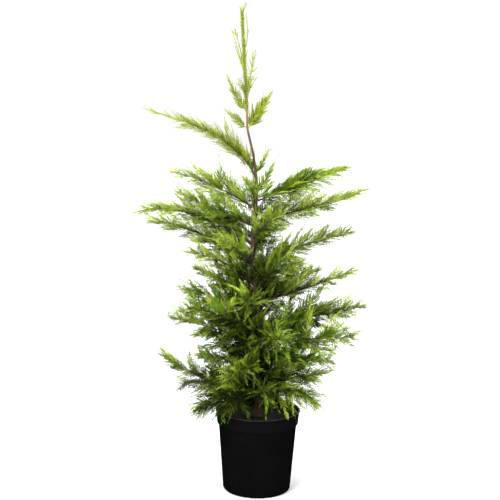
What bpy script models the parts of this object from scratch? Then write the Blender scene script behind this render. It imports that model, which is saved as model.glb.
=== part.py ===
"""A young leyland cypress in a black nursery pot, in metres, with +Z up.

The origin is at the middle of the pot's flat underside. -Y is the front, +X the right-hand side.
The trunk runs whole from the compost to the fork of its leader. Limbs leave it all round. A limb is one
curve: its first stretch may be a bare bough, and the rest is the stem of one mass of foliage. Flat
feathery fronds leave that stem in turns all round it and are fused to it.
"""

import math
import random
from collections import namedtuple

import bmesh
import bpy
from mathutils import Matrix, Vector
from mathutils.bvhtree import BVHTree

# The pot, a 12 litre nursery container
POT_HEIGHT = 0.2755
LIP_RADIUS = 0.1415
COLLAR_HEIGHT = 0.0455
COLLAR_FOOT_RADIUS = 0.1360
BODY_TOP_RADIUS = 0.1308
BODY_FOOT_RADIUS = 0.1126
FOOT_ROUND = 0.009
POT_WALL = 0.0022
LIP_ROUND = 0.0013
COLLAR_STEP = 0.004
FLOOR_RECESS = 0.004
FOOT_RING = 0.012
FOOT_PIP_RADIUS = 0.009
EDGE_SLOPE = 0.003
DRAIN_HOLES = 8
DRAIN_HOLE_RADIUS = 0.006
DRAIN_HOLE_SIDES = 10
DRAIN_CIRCLE = 0.074
POT_SIDES = 30

# The clearance that separate solids keep
GAP = 0.0003

# The compost, whose faceted wall stands a little further off the pot's
COMPOST_TOP = 0.251
COMPOST_CLEARANCE = 0.0005

# The trunk: its thickness, its flare, and how far it stands off the pot's axis at each height
TRUNK_FOOT_RADIUS = 0.0135
TRUNK_TIP_RADIUS = 0.0021
TRUNK_TAPER = 1.6
FLARE = 0.0065
FLARE_HEIGHT = 0.022
FLARE_RINGS = (0.0, 0.006, 0.016, 0.032)
TRUNK_TOP = 1.578
TRUNK_RINGS = 24
TRUNK_BENDS = (
    (COMPOST_TOP, 0.000), (0.30, 0.001), (0.51, -0.006), (0.64, -0.010), (0.70, -0.017), (0.78, -0.031),
    (0.93, -0.021), (1.02, -0.016), (1.12, -0.029), (1.21, -0.051), (1.34, -0.0575), (1.46, -0.066),
    (TRUNK_TOP, -0.074),
)

# The limbs. Sizes are metres and degrees: the height where the limb leaves the trunk, its heading round
# the trunk (0 is +X, 90 is +Y), how far out and up its tip is, the slope at which it leaves and arrives,
# the share of it that is bare bough, the length of its longest frond, and its number of fronds.
Limb = namedtuple("Limb", "name height heading reach rise leave arrive bare frond fronds")
LIMBS = (
    Limb("upper_left", 1.047, 174, 0.365, 0.217, 68, 14, 0.22, 0.095, 7),
    Limb("left_shoulder", 0.949, 162, 0.315, 0.110, 30, 6, 0.00, 0.115, 7),
    Limb("left_shoulder_front", 0.890, 201, 0.287, 0.129, 26, 24, 0.00, 0.152, 4),
    Limb("left_arm", 0.833, 188, 0.407, 0.097, 36, -22, 0.14, 0.125, 7),
    Limb("left_arm_low", 0.770, 168, 0.384, 0.126, 38, 4, 0.15, 0.125, 6),
    Limb("left_waist", 0.694, 204, 0.258, 0.127, 45, 6, 0.00, 0.159, 4),
    Limb("left_hip", 0.627, 150, 0.249, 0.105, 35, 22, 0.00, 0.166, 4),
    Limb("left_hip_front", 0.593, 186, 0.256, 0.093, 30, 12, 0.00, 0.152, 4),
    Limb("left_fan_front", 0.543, 216, 0.300, 0.105, 30, 10, 0.00, 0.152, 4),
    Limb("left_fan", 0.492, 170, 0.299, 0.078, 22, 6, 0.00, 0.166, 6),
    Limb("left_low_back", 0.400, 144, 0.258, 0.022, 16, 0, 0.00, 0.145, 4),
    Limb("low_left_upturned", 0.346, 194, 0.349, 0.142, 6, 38, 0.14, 0.125, 6),
    Limb("low_left_dark", 0.338, 160, 0.296, -0.010, 14, -12, 0.00, 0.138, 4),
    Limb("low_left_drooping", 0.306, 220, 0.262, -0.004, 26, -32, 0.00, 0.130, 4),
    Limb("right_shoulder", 0.974, 8, 0.312, 0.110, 18, 16, 0.15, 0.112, 7),
    Limb("right_arm", 0.903, -12, 0.376, 0.130, 20, 26, 0.14, 0.105, 7),
    Limb("right_stub", 0.827, 38, 0.155, 0.067, 28, 6, 0.00, 0.138, 3),
    Limb("right_arm_low", 0.750, 10, 0.368, 0.131, 34, 16, 0.15, 0.112, 7),
    Limb("right_fan_front", 0.694, -50, 0.226, 0.106, 40, 10, 0.00, 0.172, 5),
    Limb("right_whip", 0.634, -6, 0.352, 0.132, 20, 22, 0.15, 0.125, 7),
    Limb("right_hip_back", 0.644, 42, 0.295, 0.072, 22, 10, 0.00, 0.170, 5),
    Limb("right_hip", 0.543, 14, 0.379, 0.073, 18, 12, 0.13, 0.155, 7),
    Limb("right_skirt_front", 0.475, -18, 0.333, 0.074, 22, 2, 0.00, 0.165, 6),
    Limb("right_skirt_back", 0.400, 32, 0.316, -0.008, 20, -26, 0.00, 0.160, 5),
    Limb("low_right", 0.356, -8, 0.237, 0.052, 18, 4, 0.00, 0.150, 4),
    Limb("low_right_front", 0.318, -38, 0.240, 0.014, 30, -32, 0.00, 0.135, 4),
    Limb("front_high", 0.955, -98, 0.200, 0.105, 40, 12, 0.00, 0.145, 3),
    Limb("front_shoulder", 0.850, -68, 0.255, 0.110, 34, 10, 0.00, 0.166, 4),
    Limb("front_chest", 0.770, -112, 0.275, 0.100, 32, 6, 0.00, 0.166, 4),
    Limb("front_waist", 0.610, -100, 0.285, 0.085, 28, 4, 0.00, 0.166, 4),
    Limb("front_hip", 0.505, -72, 0.280, 0.060, 26, 0, 0.00, 0.159, 4),
    Limb("front_skirt", 0.405, -112, 0.270, 0.030, 22, -10, 0.00, 0.152, 4),
    Limb("front_foot", 0.325, -82, 0.205, 0.030, 34, -24, 0.00, 0.117, 3),
    Limb("back_high", 0.925, 92, 0.235, 0.115, 36, 14, 0.00, 0.159, 3),
    Limb("back_shoulder", 0.800, 72, 0.270, 0.105, 32, 8, 0.00, 0.166, 3),
    Limb("back_chest", 0.715, 112, 0.290, 0.095, 30, 6, 0.00, 0.172, 4),
    Limb("back_waist", 0.585, 84, 0.300, 0.080, 26, 4, 0.00, 0.166, 4),
    Limb("back_skirt", 0.460, 106, 0.285, 0.045, 22, -4, 0.00, 0.159, 4),
    Limb("back_foot", 0.345, 76, 0.250, 0.020, 24, -20, 0.00, 0.138, 3),
    Limb("knee_spray", 1.062, -20, 0.045, 0.086, 60, 66, 0.00, 0.056, 2),
    Limb("inner_upright", 0.995, -28, 0.070, 0.128, 58, 72, 0.00, 0.088, 3),
    Limb("top_right_spray", 1.205, 5, 0.073, 0.117, 64, 50, 0.00, 0.094, 4),
    Limb("top_left_spray", 1.262, 172, 0.064, 0.110, 48, 74, 0.00, 0.062, 3),
    Limb("top_left_low_spray", 1.210, 190, 0.072, 0.060, 34, 50, 0.00, 0.056, 2),
    Limb("leader_left_twig", 1.394, 184, 0.045, 0.126, 66, 70, 0.00, 0.036, 1),
    Limb("leader_right_twig", 1.352, -6, 0.029, 0.112, 56, 86, 0.00, 0.045, 2),
    Limb("leader_tip", 1.574, 0, 0.015, 0.035, 66, 66, 0.00, 0.018, 2),
)

# A limb's own form: its thickness, and where along it its fronds start and end. The tip frond's length is
# a share of the limb's, and the stem ends a little way inside that frond.
LIMB_RADIUS_PER_LENGTH = 0.0125
LIMB_TO_TRUNK_RADIUS = 0.62
LEAST_LIMB_RADIUS = 0.0016
STEM_TIP_RADIUS = 0.0009
LIMB_TAPER = 0.8
LIMB_STEPS = 5
FIRST_FROND = 0.15
BARE_PAST_BOUGH = 0.04
LAST_FROND = 0.90
TIP_FROND_SHARE = 0.24
STEM_IN_TIP_FROND = 0.06

# A frond is a thin blade of length 1, later scaled, with teeth that sweep forwards along both sides of its
# rib and notches between them. Angles are degrees.
LONG_FROND = 0.100
LONG_FROND_TEETH = 4
SHORT_FROND_TEETH = 3
FROND_HALF_WIDTH = 0.32
FROND_RIB = 0.013
RIB_SHARE = 0.90
NOTCH_SHARE = 0.34
TOOTH_PLACE = 0.55
TOOTH_SWEEP = 0.55
RIB_TAPER = 0.7
BLADE_SWELL = (0.20, 0.94)
BLADE_ROUNDNESS = 0.8
TIP_FROND_WIDTH = 0.62
TIP_FROND_ROLLS = (30, 60)
FROND_ROLLS = (56, -60, 128, -118, 8, -32, 166)
ROLL_JITTER = 14
FROND_TWIST = (14, 52)
ROOT_SPREAD = 50
TIP_SPREAD = 32
SIZE_JITTER = 0.08

# A frond that would touch another solid, or come near another limb, is tried again at these sizes and
# then left out. It is tested a little larger than it is, and only its outer part has to keep the berth.
SHRINK_STEPS = (1.0, 0.80, 0.62, 0.48)
OWN_SPACE_MARGIN = 0.003
LIMB_BERTH = 0.020
BERTH_SCALE = Matrix.Diagonal((1.015, 1.04, 1.6, 1.0))
OUTER_PART = 0.4
LINE_STEPS = 12
WELD_DISTANCE = 1e-6
SMOOTH_BELOW = math.radians(35)
SEED = 49


def clear_scene():
    for item in list(bpy.data.objects):
        bpy.data.objects.remove(item)


def new_collection(name):
    made = bpy.data.collections.new(name)
    bpy.context.scene.collection.children.link(made)
    return made


def plain_material(name, colour, roughness):
    made = bpy.data.materials.new(name)
    made.use_nodes = True
    shader = made.node_tree.nodes["Principled BSDF"]
    shader.inputs["Base Color"].default_value = (*colour, 1.0)
    shader.inputs["Roughness"].default_value = roughness
    shader.inputs["Metallic"].default_value = 0.0
    return made


def add_object(name, data, home, material=None):
    made = bpy.data.objects.new(name, data)
    home.objects.link(made)
    if material is not None:
        data.materials.append(material)
    return made


def baked_mesh(item):
    """The evaluated mesh of an object in world space, with its doubled points merged."""
    bpy.context.view_layer.update()
    graph = bpy.context.evaluated_depsgraph_get()
    data = bpy.data.meshes.new_from_object(item.evaluated_get(graph))
    data.transform(item.matrix_world)
    work = bmesh.new()
    work.from_mesh(data)
    bmesh.ops.remove_doubles(work, verts=work.verts, dist=WELD_DISTANCE)
    bmesh.ops.recalc_face_normals(work, faces=work.faces)
    work.to_mesh(data)
    work.free()
    return data


def body_count(data):
    """How many separate shells a mesh has."""
    work = bmesh.new()
    work.from_mesh(data)
    left, count = set(work.verts), 0
    while left:
        count += 1
        reached = [left.pop()]
        while reached:
            for edge in reached.pop().link_edges:
                for point in edge.verts:
                    if point in left:
                        left.remove(point)
                        reached.append(point)
    work.free()
    return count


def is_closed(data):
    work = bmesh.new()
    work.from_mesh(data)
    closed = all(edge.is_manifold for edge in work.edges)
    work.free()
    return closed


def turned(name, profile, home, material):
    """A closed profile of (radius, height) points turned once round the Z axis."""
    data = bpy.data.meshes.new(name)
    points = [(radius, 0.0, height) for radius, height in profile]
    edges = [(i, i + 1) for i in range(len(points) - 1)]
    if profile[0][0] > 0 or profile[-1][0] > 0:
        edges.append((len(points) - 1, 0))
    data.from_pydata(points, edges, [])
    made = add_object(name, data, home, material)
    screw = made.modifiers.new("turn", "SCREW")
    screw.steps = screw.render_steps = POT_SIDES
    screw.use_merge_vertices = True
    screw.merge_threshold = 0.00005
    return made


def body_radius(height):
    """The pot's outer radius below its collar."""
    share = height / (POT_HEIGHT - COLLAR_HEIGHT)
    return BODY_FOOT_RADIUS + (BODY_TOP_RADIUS - BODY_FOOT_RADIUS) * share


def pot_profiles():
    """The pot's outer profile from its lip down to the middle, and its inner one back up to the lip."""
    collar_foot = POT_HEIGHT - COLLAR_HEIGHT
    floor = FLOOR_RECESS + POT_WALL
    ring_inner = BODY_FOOT_RADIUS - FOOT_ROUND - FOOT_RING
    inside_lip = LIP_RADIUS - 2 * POT_WALL
    outer = [
        (LIP_RADIUS - LIP_ROUND, POT_HEIGHT),
        (LIP_RADIUS, POT_HEIGHT - LIP_ROUND),
        (COLLAR_FOOT_RADIUS, collar_foot),
        (body_radius(collar_foot), collar_foot - COLLAR_STEP),
        (body_radius(FOOT_ROUND), FOOT_ROUND),
        (BODY_FOOT_RADIUS - FOOT_ROUND / 3, FOOT_ROUND / 4),
        (BODY_FOOT_RADIUS - FOOT_ROUND, 0.0),
        (ring_inner, 0.0),
        (ring_inner - EDGE_SLOPE, FLOOR_RECESS),
        (FOOT_PIP_RADIUS + EDGE_SLOPE, FLOOR_RECESS),
        (FOOT_PIP_RADIUS, 0.0),
        (0.0, 0.0),
    ]
    inner = [
        (0.0, floor),
        (BODY_FOOT_RADIUS - FOOT_ROUND / 2 - POT_WALL, floor),
        (body_radius(FOOT_ROUND) - POT_WALL, floor + FOOT_ROUND),
        (body_radius(collar_foot) - POT_WALL, collar_foot - COLLAR_STEP / 2),
        (COLLAR_FOOT_RADIUS - 1.5 * POT_WALL, collar_foot + COLLAR_STEP),
        (inside_lip, POT_HEIGHT - LIP_ROUND),
        (inside_lip + LIP_ROUND, POT_HEIGHT),
    ]
    return outer, inner


def make_pot(home, cutters, material):
    outer, inner = pot_profiles()
    pot = turned("pot", outer + inner, home, material)
    drills = []
    for number in range(DRAIN_HOLES):
        angle = math.tau * (number + 0.5) / DRAIN_HOLES
        place = (DRAIN_CIRCLE * math.cos(angle), DRAIN_CIRCLE * math.sin(angle), FLOOR_RECESS)
        bpy.ops.mesh.primitive_cylinder_add(
            vertices=DRAIN_HOLE_SIDES, radius=DRAIN_HOLE_RADIUS, depth=8 * POT_WALL, location=place
        )
        drill = bpy.context.object
        drill.name = f"drain_drill_{number}"
        bpy.context.collection.objects.unlink(drill)
        cutters.objects.link(drill)
        drills.append(drill)
        cut = pot.modifiers.new(f"drain {number}", "BOOLEAN")
        cut.operation = "DIFFERENCE"
        cut.object = drill
    pot = to_mesh_object(pot, home, material)
    for drill in drills:
        bpy.data.objects.remove(drill)
    return pot


def make_compost(home, material):
    """The root ball and compost, filling the pot up to COMPOST_TOP, clear of its wall."""
    inner = pot_profiles()[1]
    foot = inner[0][1] + GAP
    walls = [(radius - COMPOST_CLEARANCE, height) for radius, height in inner[1:]]
    below = [wall for wall in walls if wall[1] < COMPOST_TOP]
    low, high = below[-1], walls[len(below)]
    share = (COMPOST_TOP - low[1]) / (high[1] - low[1])
    rim = (low[0] + (high[0] - low[0]) * share, COMPOST_TOP)
    profile = [(0.0, COMPOST_TOP), rim, *reversed(below[1:]), (below[0][0], foot), (0.0, foot)]
    return to_mesh_object(turned("compost", profile, home, material), home, material)


def trunk_offset(height):
    """How far the trunk stands off the pot's axis, along X, at a height."""
    for (low, start), (high, end) in zip(TRUNK_BENDS, TRUNK_BENDS[1:]):
        if height <= high:
            share = max(0.0, (height - low) / (high - low))
            return start + (end - start) * share
    return TRUNK_BENDS[-1][1]


def trunk_point(height):
    return Vector((trunk_offset(height), 0.0, height))


def trunk_radius(height):
    rise = min(1.0, (height - COMPOST_TOP) / (TRUNK_TOP - COMPOST_TOP))
    taper = TRUNK_TIP_RADIUS + (TRUNK_FOOT_RADIUS - TRUNK_TIP_RADIUS) * (1 - rise) ** TRUNK_TAPER
    return taper + FLARE * math.exp(-(height - COMPOST_TOP) / FLARE_HEIGHT)


def tube(name, points, radii, home, resolution, section=None):
    """A tapering tube along points. A section curve makes it three-sided."""
    data = bpy.data.curves.new(name, "CURVE")
    data.dimensions = "3D"
    data.use_fill_caps = True
    data.bevel_resolution = resolution
    if section is None:
        data.bevel_depth = 1.0
    else:
        data.bevel_mode = "OBJECT"
        data.bevel_object = section
    spline = data.splines.new("POLY")
    spline.points.add(len(points) - 1)
    for place, point, radius in zip(spline.points, points, radii):
        place.co = (*point, 1.0)
        place.radius = radius
    return add_object(name, data, home)


def to_mesh_object(item, home, material=None):
    """Puts an object's evaluated and welded mesh in its place, under the same name."""
    return replace_mesh(item, baked_mesh(item), home, material)


def replace_mesh(item, data, home, material):
    name = item.name
    bpy.data.objects.remove(item)
    data.name = name
    data.materials.clear()
    data.shade_smooth()
    data.set_sharp_from_angle(angle=SMOOTH_BELOW)
    return add_object(name, data, home, material)


def make_trunk(name, swell, home, material):
    """The trunk with its flat foot on the compost, or the same form grown by swell."""
    heights = [COMPOST_TOP + GAP + ring for ring in FLARE_RINGS]
    start = heights[-1]
    heights += [start + (TRUNK_TOP - start) * (i + 1) / TRUNK_RINGS for i in range(TRUNK_RINGS)]
    points = [trunk_point(height) for height in heights]
    points[1].x = points[0].x
    radii = [trunk_radius(height) + swell for height in heights]
    if swell:
        points[-1].z += swell
    return to_mesh_object(tube(name, points, radii, home, 2), home, material)


def limb_curve(limb):
    """A cubic curve from the trunk's middle to the limb's tip, as a function of its share."""
    root = trunk_point(limb.height)
    turn = math.radians(limb.heading)
    out = Vector((math.cos(turn), math.sin(turn), 0.0))
    up = Vector((0.0, 0.0, 1.0))
    tip = root + out * limb.reach + up * limb.rise
    handle = (tip - root).length / 3
    leave, arrive = math.radians(limb.leave), math.radians(limb.arrive)
    first = root + (out * math.cos(leave) + up * math.sin(leave)) * handle
    second = tip - (out * math.cos(arrive) + up * math.sin(arrive)) * handle

    def at(share):
        rest = 1 - share
        return (root * rest**3 + first * (3 * rest**2 * share)
                + second * (3 * rest * share**2) + tip * share**3)

    return at


def along(curve, share):
    """The curve's direction at its share."""
    step = 0.01
    return (curve(min(1.0, share + step)) - curve(max(0.0, share - step))).normalized()


def limb_length(limb):
    return math.hypot(limb.reach, limb.rise)


def limb_radius(limb, share):
    by_length = limb_length(limb) * LIMB_RADIUS_PER_LENGTH
    by_trunk = trunk_radius(limb.height) * LIMB_TO_TRUNK_RADIUS
    root = max(LEAST_LIMB_RADIUS, min(by_length, by_trunk))
    return STEM_TIP_RADIUS + (root - STEM_TIP_RADIUS) * (1 - share) ** LIMB_TAPER


def limb_tube(name, limb, curve, start, end, home, section=None):
    """The stretch of a limb between two shares of its curve."""
    shares = [start + (end - start) * i / LIMB_STEPS for i in range(LIMB_STEPS + 1)]
    points = [curve(share) for share in shares]
    radii = [limb_radius(limb, share) for share in shares]
    return tube(name, points, radii, home, 1, section)


def triangle_section(home):
    """A three-cornered section of radius 1 for twigs."""
    data = bpy.data.curves.new("twig_section", "CURVE")
    data.dimensions = "2D"
    spline = data.splines.new("POLY")
    spline.points.add(2)
    for number, place in enumerate(spline.points):
        angle = math.tau * number / 3 + math.pi / 2
        place.co = (math.cos(angle), math.sin(angle), 0.0, 1.0)
    spline.use_cyclic_u = True
    return add_object("twig_section", data, home)


def blade_half_width(share):
    """The reach of a frond's teeth to the side, at their place along its rib."""
    start, end = BLADE_SWELL
    return FROND_HALF_WIDTH * math.sin(math.pi * (start + (end - start) * share)) ** BLADE_ROUNDNESS


def frond_mesh(teeth):
    """A toothed blade of length 1 along +X in the XY plane: one half of its thickness, mirrored."""
    work = bmesh.new()
    root = work.verts.new((0.0, 0.0, 0.0))
    apex = work.verts.new((1.0, 0.0, 0.0))
    ribs, notches = [root], {1: [root], -1: [root]}
    for number in range(1, teeth + 1):
        place = number / teeth
        ribs.append(work.verts.new((place * RIB_SHARE, 0.0, FROND_RIB * (1 - RIB_TAPER * place))))
        for side in (1, -1):
            width = side * blade_half_width(place * RIB_SHARE) * NOTCH_SHARE
            notches[side].append(work.verts.new((place * RIB_SHARE, width, 0.0)))
    for side in (1, -1):
        for number in range(teeth):
            share = (number + TOOTH_PLACE) / teeth
            reach = blade_half_width(share)
            tooth = work.verts.new((share * RIB_SHARE + reach * TOOTH_SWEEP, side * reach, 0.0))
            rib, following = ribs[number], ribs[number + 1]
            corners = [(rib, tooth, following), (following, tooth, notches[side][number + 1])]
            if number:
                corners.append((rib, notches[side][number], tooth))
            for face in corners:
                work.faces.new(face)
        work.faces.new((ribs[-1], notches[side][-1], apex))
    bmesh.ops.mirror(
        work, geom=work.verts[:] + work.edges[:] + work.faces[:],
        matrix=Matrix.Identity(4), merge_dist=1e-5, axis="Z",
    )
    bmesh.ops.recalc_face_normals(work, faces=work.faces)
    data = bpy.data.meshes.new(f"frond_{teeth}")
    work.to_mesh(data)
    work.free()
    return data


def frond_frame(root, axis, roll, spread, twist):
    """Where a frond leaves a stem: rolled round it from the top, spread off it, twisted on its rib."""
    up = Vector((0.0, 0.0, 1.0))
    over = (up - axis * up.dot(axis)).normalized()
    side = axis.cross(over)
    away = over * math.cos(roll) + side * math.sin(roll)
    ahead = axis * math.cos(spread) + away * math.sin(spread)
    flat = axis.cross(away)
    flat.rotate(Matrix.Rotation(twist, 3, ahead))
    across = flat.cross(ahead).normalized()
    frame = Matrix((ahead, across, flat)).transposed().to_4x4()
    frame.translation = root
    return frame


def frond_size(share):
    """The frond's length as a part of the longest, at its place between the stem's ends."""
    return min(1.0, 0.72 + 1.2 * share) * (1 - 0.66 * share**1.15)


def tree_of(data, matrix=None):
    """A search tree of a mesh's faces, placed by a matrix."""
    points = [matrix @ v.co if matrix else v.co.copy() for v in data.vertices]
    return BVHTree.FromPolygons(points, [tuple(p.vertices) for p in data.polygons])


def distance_to_line(point, line):
    """The least distance from a point to a line of points."""
    best = 1e9
    for start, end in zip(line, line[1:]):
        step = end - start
        share = max(0.0, min(1.0, (point - start).dot(step) / step.length_squared))
        best = min(best, (start + step * share - point).length)
    return best


def in_own_space(points, own, others):
    """True if each point is nearer to its own stem than to the other limbs, or well away from them."""
    for point in points:
        allowed = min(distance_to_line(point, own) + OWN_SPACE_MARGIN, LIMB_BERTH)
        if any(distance_to_line(point, other) < allowed for other in others):
            return False
    return True


def plan_fronds(limb, chance):
    """Each frond of a limb as (share of the limb, roll, spread, twist, length, width), tip first."""
    first = max(limb.bare + BARE_PAST_BOUGH, FIRST_FROND)
    length = limb_length(limb)
    tip_length = max(TIP_FROND_SHARE * length, limb.frond / 2)
    tip_share = 1 - tip_length / length
    lean = math.radians(chance.uniform(*TIP_FROND_ROLLS))
    planned = [(tip_share, lean, 0.0, 0.0, tip_length, TIP_FROND_WIDTH)]
    for number in range(limb.fronds):
        place = (number + 0.5) / limb.fronds
        share = first + (LAST_FROND * tip_share - first) * place
        roll = FROND_ROLLS[number % len(FROND_ROLLS)] + chance.uniform(-ROLL_JITTER, ROLL_JITTER)
        spread = ROOT_SPREAD + (TIP_SPREAD - ROOT_SPREAD) * place
        twist = chance.uniform(*FROND_TWIST) * chance.choice((-1, 1))
        size = limb.frond * frond_size(place) * chance.uniform(1 - SIZE_JITTER, 1 + SIZE_JITTER)
        planned.append((share, math.radians(roll), math.radians(spread), math.radians(twist), size, 1.0))
    return planned


def joined(stem, fronds, home, material):
    """Fuses the fronds to their stem by one union on a collection and applies it."""
    for solver in ("EXACT", "MANIFOLD"):
        bunch = bpy.data.collections.new(f"{stem.name}_fronds")
        bpy.context.scene.collection.children.link(bunch)
        for number, (blade, frame) in enumerate(fronds):
            placed = bpy.data.objects.new(f"{stem.name}_frond_{number}", blade)
            placed.matrix_world = frame
            bunch.objects.link(placed)
        union = stem.modifiers.new("fronds", "BOOLEAN")
        union.operation = "UNION"
        union.operand_type = "COLLECTION"
        union.collection = bunch
        union.solver = solver
        data = baked_mesh(stem)
        stem.modifiers.remove(union)
        for placed in list(bunch.objects):
            bpy.data.objects.remove(placed)
        bpy.data.collections.remove(bunch)
        if body_count(data) == 1 and is_closed(data):
            break
    return replace_mesh(stem, data, home, material)


def trim_to_trunk(item, clearance, home, material=None):
    """Cuts a limb's root back to the trunk's surface, clear of it by GAP."""
    cut = item.modifiers.new("seat on trunk", "BOOLEAN")
    cut.operation = "DIFFERENCE"
    cut.object = clearance
    return to_mesh_object(item, home, material)


def make_bough(limb, curve, clearance, home, material):
    """The bare first stretch of a limb, seated on the trunk."""
    bough = limb_tube(f"bough_{limb.name}", limb, curve, 0.0, limb.bare, home)
    return trim_to_trunk(to_mesh_object(bough, home), clearance, home, material)


def make_stem(limb, curve, end, section, clearance, home):
    """The stem of a limb's foliage, from its bough's tip, or from the trunk where it has none."""
    start = limb.bare + (GAP / limb_length(limb) if limb.bare else 0.0)
    stem = limb_tube(f"foliage_{limb.name}", limb, curve, start, end, home, section)
    stem = to_mesh_object(stem, home)
    return stem if limb.bare else trim_to_trunk(stem, clearance, home)


def place_fronds(limb, curve, plan, blades, lines, solids):
    """The limb's fronds that fit beside the other limbs and solids, as (blade, frame)."""
    long_blade, short_blade = blades
    others = [line for name, line in lines.items() if name != limb.name]
    taken = []
    for share, roll, spread, twist, size, width in plan:
        root, axis = curve(share), along(curve, share)
        for shrink in SHRINK_STEPS:
            length = size * shrink
            blade = long_blade if length > LONG_FROND else short_blade
            scale = Matrix.Diagonal((length, length * width, length, 1.0))
            frame = frond_frame(root, axis, roll, spread, twist) @ scale
            outer = [frame @ v.co for v in blade.vertices if v.co.x > OUTER_PART]
            tree = tree_of(blade, frame @ BERTH_SCALE)
            touches = any(tree.overlap(other) for key, other in solids.items() if key[0] != limb.name)
            if not touches and in_own_space(outer, lines[limb.name], others):
                taken.append((blade, frame))
                solids[limb.name, len(taken)] = tree
                break
    return taken


def make_limbs(home, cutters, fixed, wood, green):
    """All boughs and all masses, clear of the fixed pieces. Stems come first, so that fronds miss them."""
    chance = random.Random(SEED)
    section = triangle_section(cutters)
    clearance = make_trunk("trunk_clearance", GAP, cutters, None)
    blades = frond_mesh(LONG_FROND_TEETH), frond_mesh(SHORT_FROND_TEETH)
    curves = {limb.name: limb_curve(limb) for limb in LIMBS}
    lines = {name: [curve(i / LINE_STEPS) for i in range(LINE_STEPS + 1)] for name, curve in curves.items()}
    plans = {limb.name: plan_fronds(limb, chance) for limb in LIMBS}
    solids = {(item.name, 0): tree_of(item.data) for item in fixed}
    stems = {}
    for limb in LIMBS:
        curve, plan = curves[limb.name], plans[limb.name]
        if limb.bare:
            bough = make_bough(limb, curve, clearance, home, wood)
            solids[bough.name, 0] = tree_of(bough.data)
        stem = make_stem(limb, curve, plan[0][0] + STEM_IN_TIP_FROND, section, clearance, home)
        stems[limb.name] = stem
        solids[limb.name, 0] = tree_of(stem.data)
    for limb in LIMBS:
        fronds = place_fronds(limb, curves[limb.name], plans[limb.name], blades, lines, solids)
        joined(stems[limb.name], fronds, home, green)
    for helper in (section, clearance):
        bpy.data.objects.remove(helper)


def main():
    clear_scene()
    home = new_collection("potted_leyland_cypress")
    cutters = new_collection("cutters")
    plastic = plain_material("black_moulded_plastic", (0.012, 0.012, 0.014), 0.42)
    earth = plain_material("dark_compost", (0.030, 0.018, 0.012), 0.95)
    bark = plain_material("young_bark", (0.180, 0.105, 0.065), 0.85)
    leaves = plain_material("scale_leaf_green", (0.200, 0.330, 0.040), 0.60)
    pot = make_pot(home, cutters, plastic)
    compost = make_compost(home, earth)
    trunk = make_trunk("trunk", 0.0, home, bark)
    make_limbs(home, cutters, (pot, compost, trunk), bark, leaves)


main()
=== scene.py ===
import math

import bmesh
import bpy
import numpy as np
from mathutils import Matrix, Vector, noise


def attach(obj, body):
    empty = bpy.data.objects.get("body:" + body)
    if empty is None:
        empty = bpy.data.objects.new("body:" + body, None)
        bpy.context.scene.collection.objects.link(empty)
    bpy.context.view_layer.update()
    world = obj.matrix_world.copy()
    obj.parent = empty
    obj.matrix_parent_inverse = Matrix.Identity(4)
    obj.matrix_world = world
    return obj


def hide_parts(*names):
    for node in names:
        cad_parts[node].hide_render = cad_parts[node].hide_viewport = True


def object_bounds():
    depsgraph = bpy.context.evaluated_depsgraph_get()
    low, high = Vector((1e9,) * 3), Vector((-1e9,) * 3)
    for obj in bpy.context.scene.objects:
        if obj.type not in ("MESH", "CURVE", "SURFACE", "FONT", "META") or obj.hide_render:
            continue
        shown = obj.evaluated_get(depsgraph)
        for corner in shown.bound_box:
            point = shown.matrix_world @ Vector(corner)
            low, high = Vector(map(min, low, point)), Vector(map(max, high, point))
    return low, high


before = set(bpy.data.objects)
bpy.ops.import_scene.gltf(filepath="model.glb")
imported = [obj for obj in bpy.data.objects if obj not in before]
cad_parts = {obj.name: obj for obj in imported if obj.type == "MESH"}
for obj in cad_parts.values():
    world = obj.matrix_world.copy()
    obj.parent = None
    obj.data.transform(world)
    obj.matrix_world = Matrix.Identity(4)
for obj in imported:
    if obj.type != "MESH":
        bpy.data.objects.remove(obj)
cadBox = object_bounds()
rng = np.random.default_rng(20)
up = np.array([0.0, 0.0, 1.0])


# camera at the photograph's height and distance, tipped a little as it was held
camera = {
    "place": (-0.0355, -3.8, 1.42),
    "aim": (-0.0355, 0.0, 0.8125),
    "rollDegrees": 1.0,
    "lensMm": 84.5,
    "sensorMm": 36.0,
}


def addCamera():
    place, aim = Vector(camera["place"]), Vector(camera["aim"])
    ahead = (aim - place).normalized()
    right = ahead.cross(Vector((0, 0, 1))).normalized()
    above = right.cross(ahead)
    roll = math.radians(camera["rollDegrees"])
    rolledRight = right * math.cos(roll) + above * math.sin(roll)
    rolledAbove = above * math.cos(roll) - right * math.sin(roll)
    bpy.ops.object.camera_add(location=place)
    made = bpy.context.object
    made.rotation_euler = Matrix((rolledRight, rolledAbove, -ahead)).transposed().to_euler()
    made.data.lens = camera["lensMm"]
    made.data.sensor_width = camera["sensorMm"]
    bpy.context.scene.camera = made


addCamera()
print("camera set")


# helpers for materials
def hexColour(text):
    values = [int(text[i:i + 2], 16) / 255 for i in (1, 3, 5)]
    linear = [v / 12.92 if v <= 0.04045 else ((v + 0.055) / 1.055) ** 2.4 for v in values]
    return (*linear, 1.0)


def addNode(tree, kind, settings=None, inputs=None, links=None):
    # settings are the node's own fields, inputs its socket values, links {socket: (node, output)}
    node = tree.nodes.new(kind)
    for key, value in (settings or {}).items():
        setattr(node, key, value)
    for key, value in (inputs or {}).items():
        node.inputs[key].default_value = value
    for key, (source, output) in (links or {}).items():
        tree.links.new(source.outputs[output], node.inputs[key])
    return node


def newMaterial(name, roughness, colour="#808080"):
    made = bpy.data.materials.new(name)
    made.use_nodes = True
    shader = made.node_tree.nodes["Principled BSDF"]
    shader.inputs["Base Color"].default_value = hexColour(colour)
    shader.inputs["Roughness"].default_value = roughness
    return made, made.node_tree, shader


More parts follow.
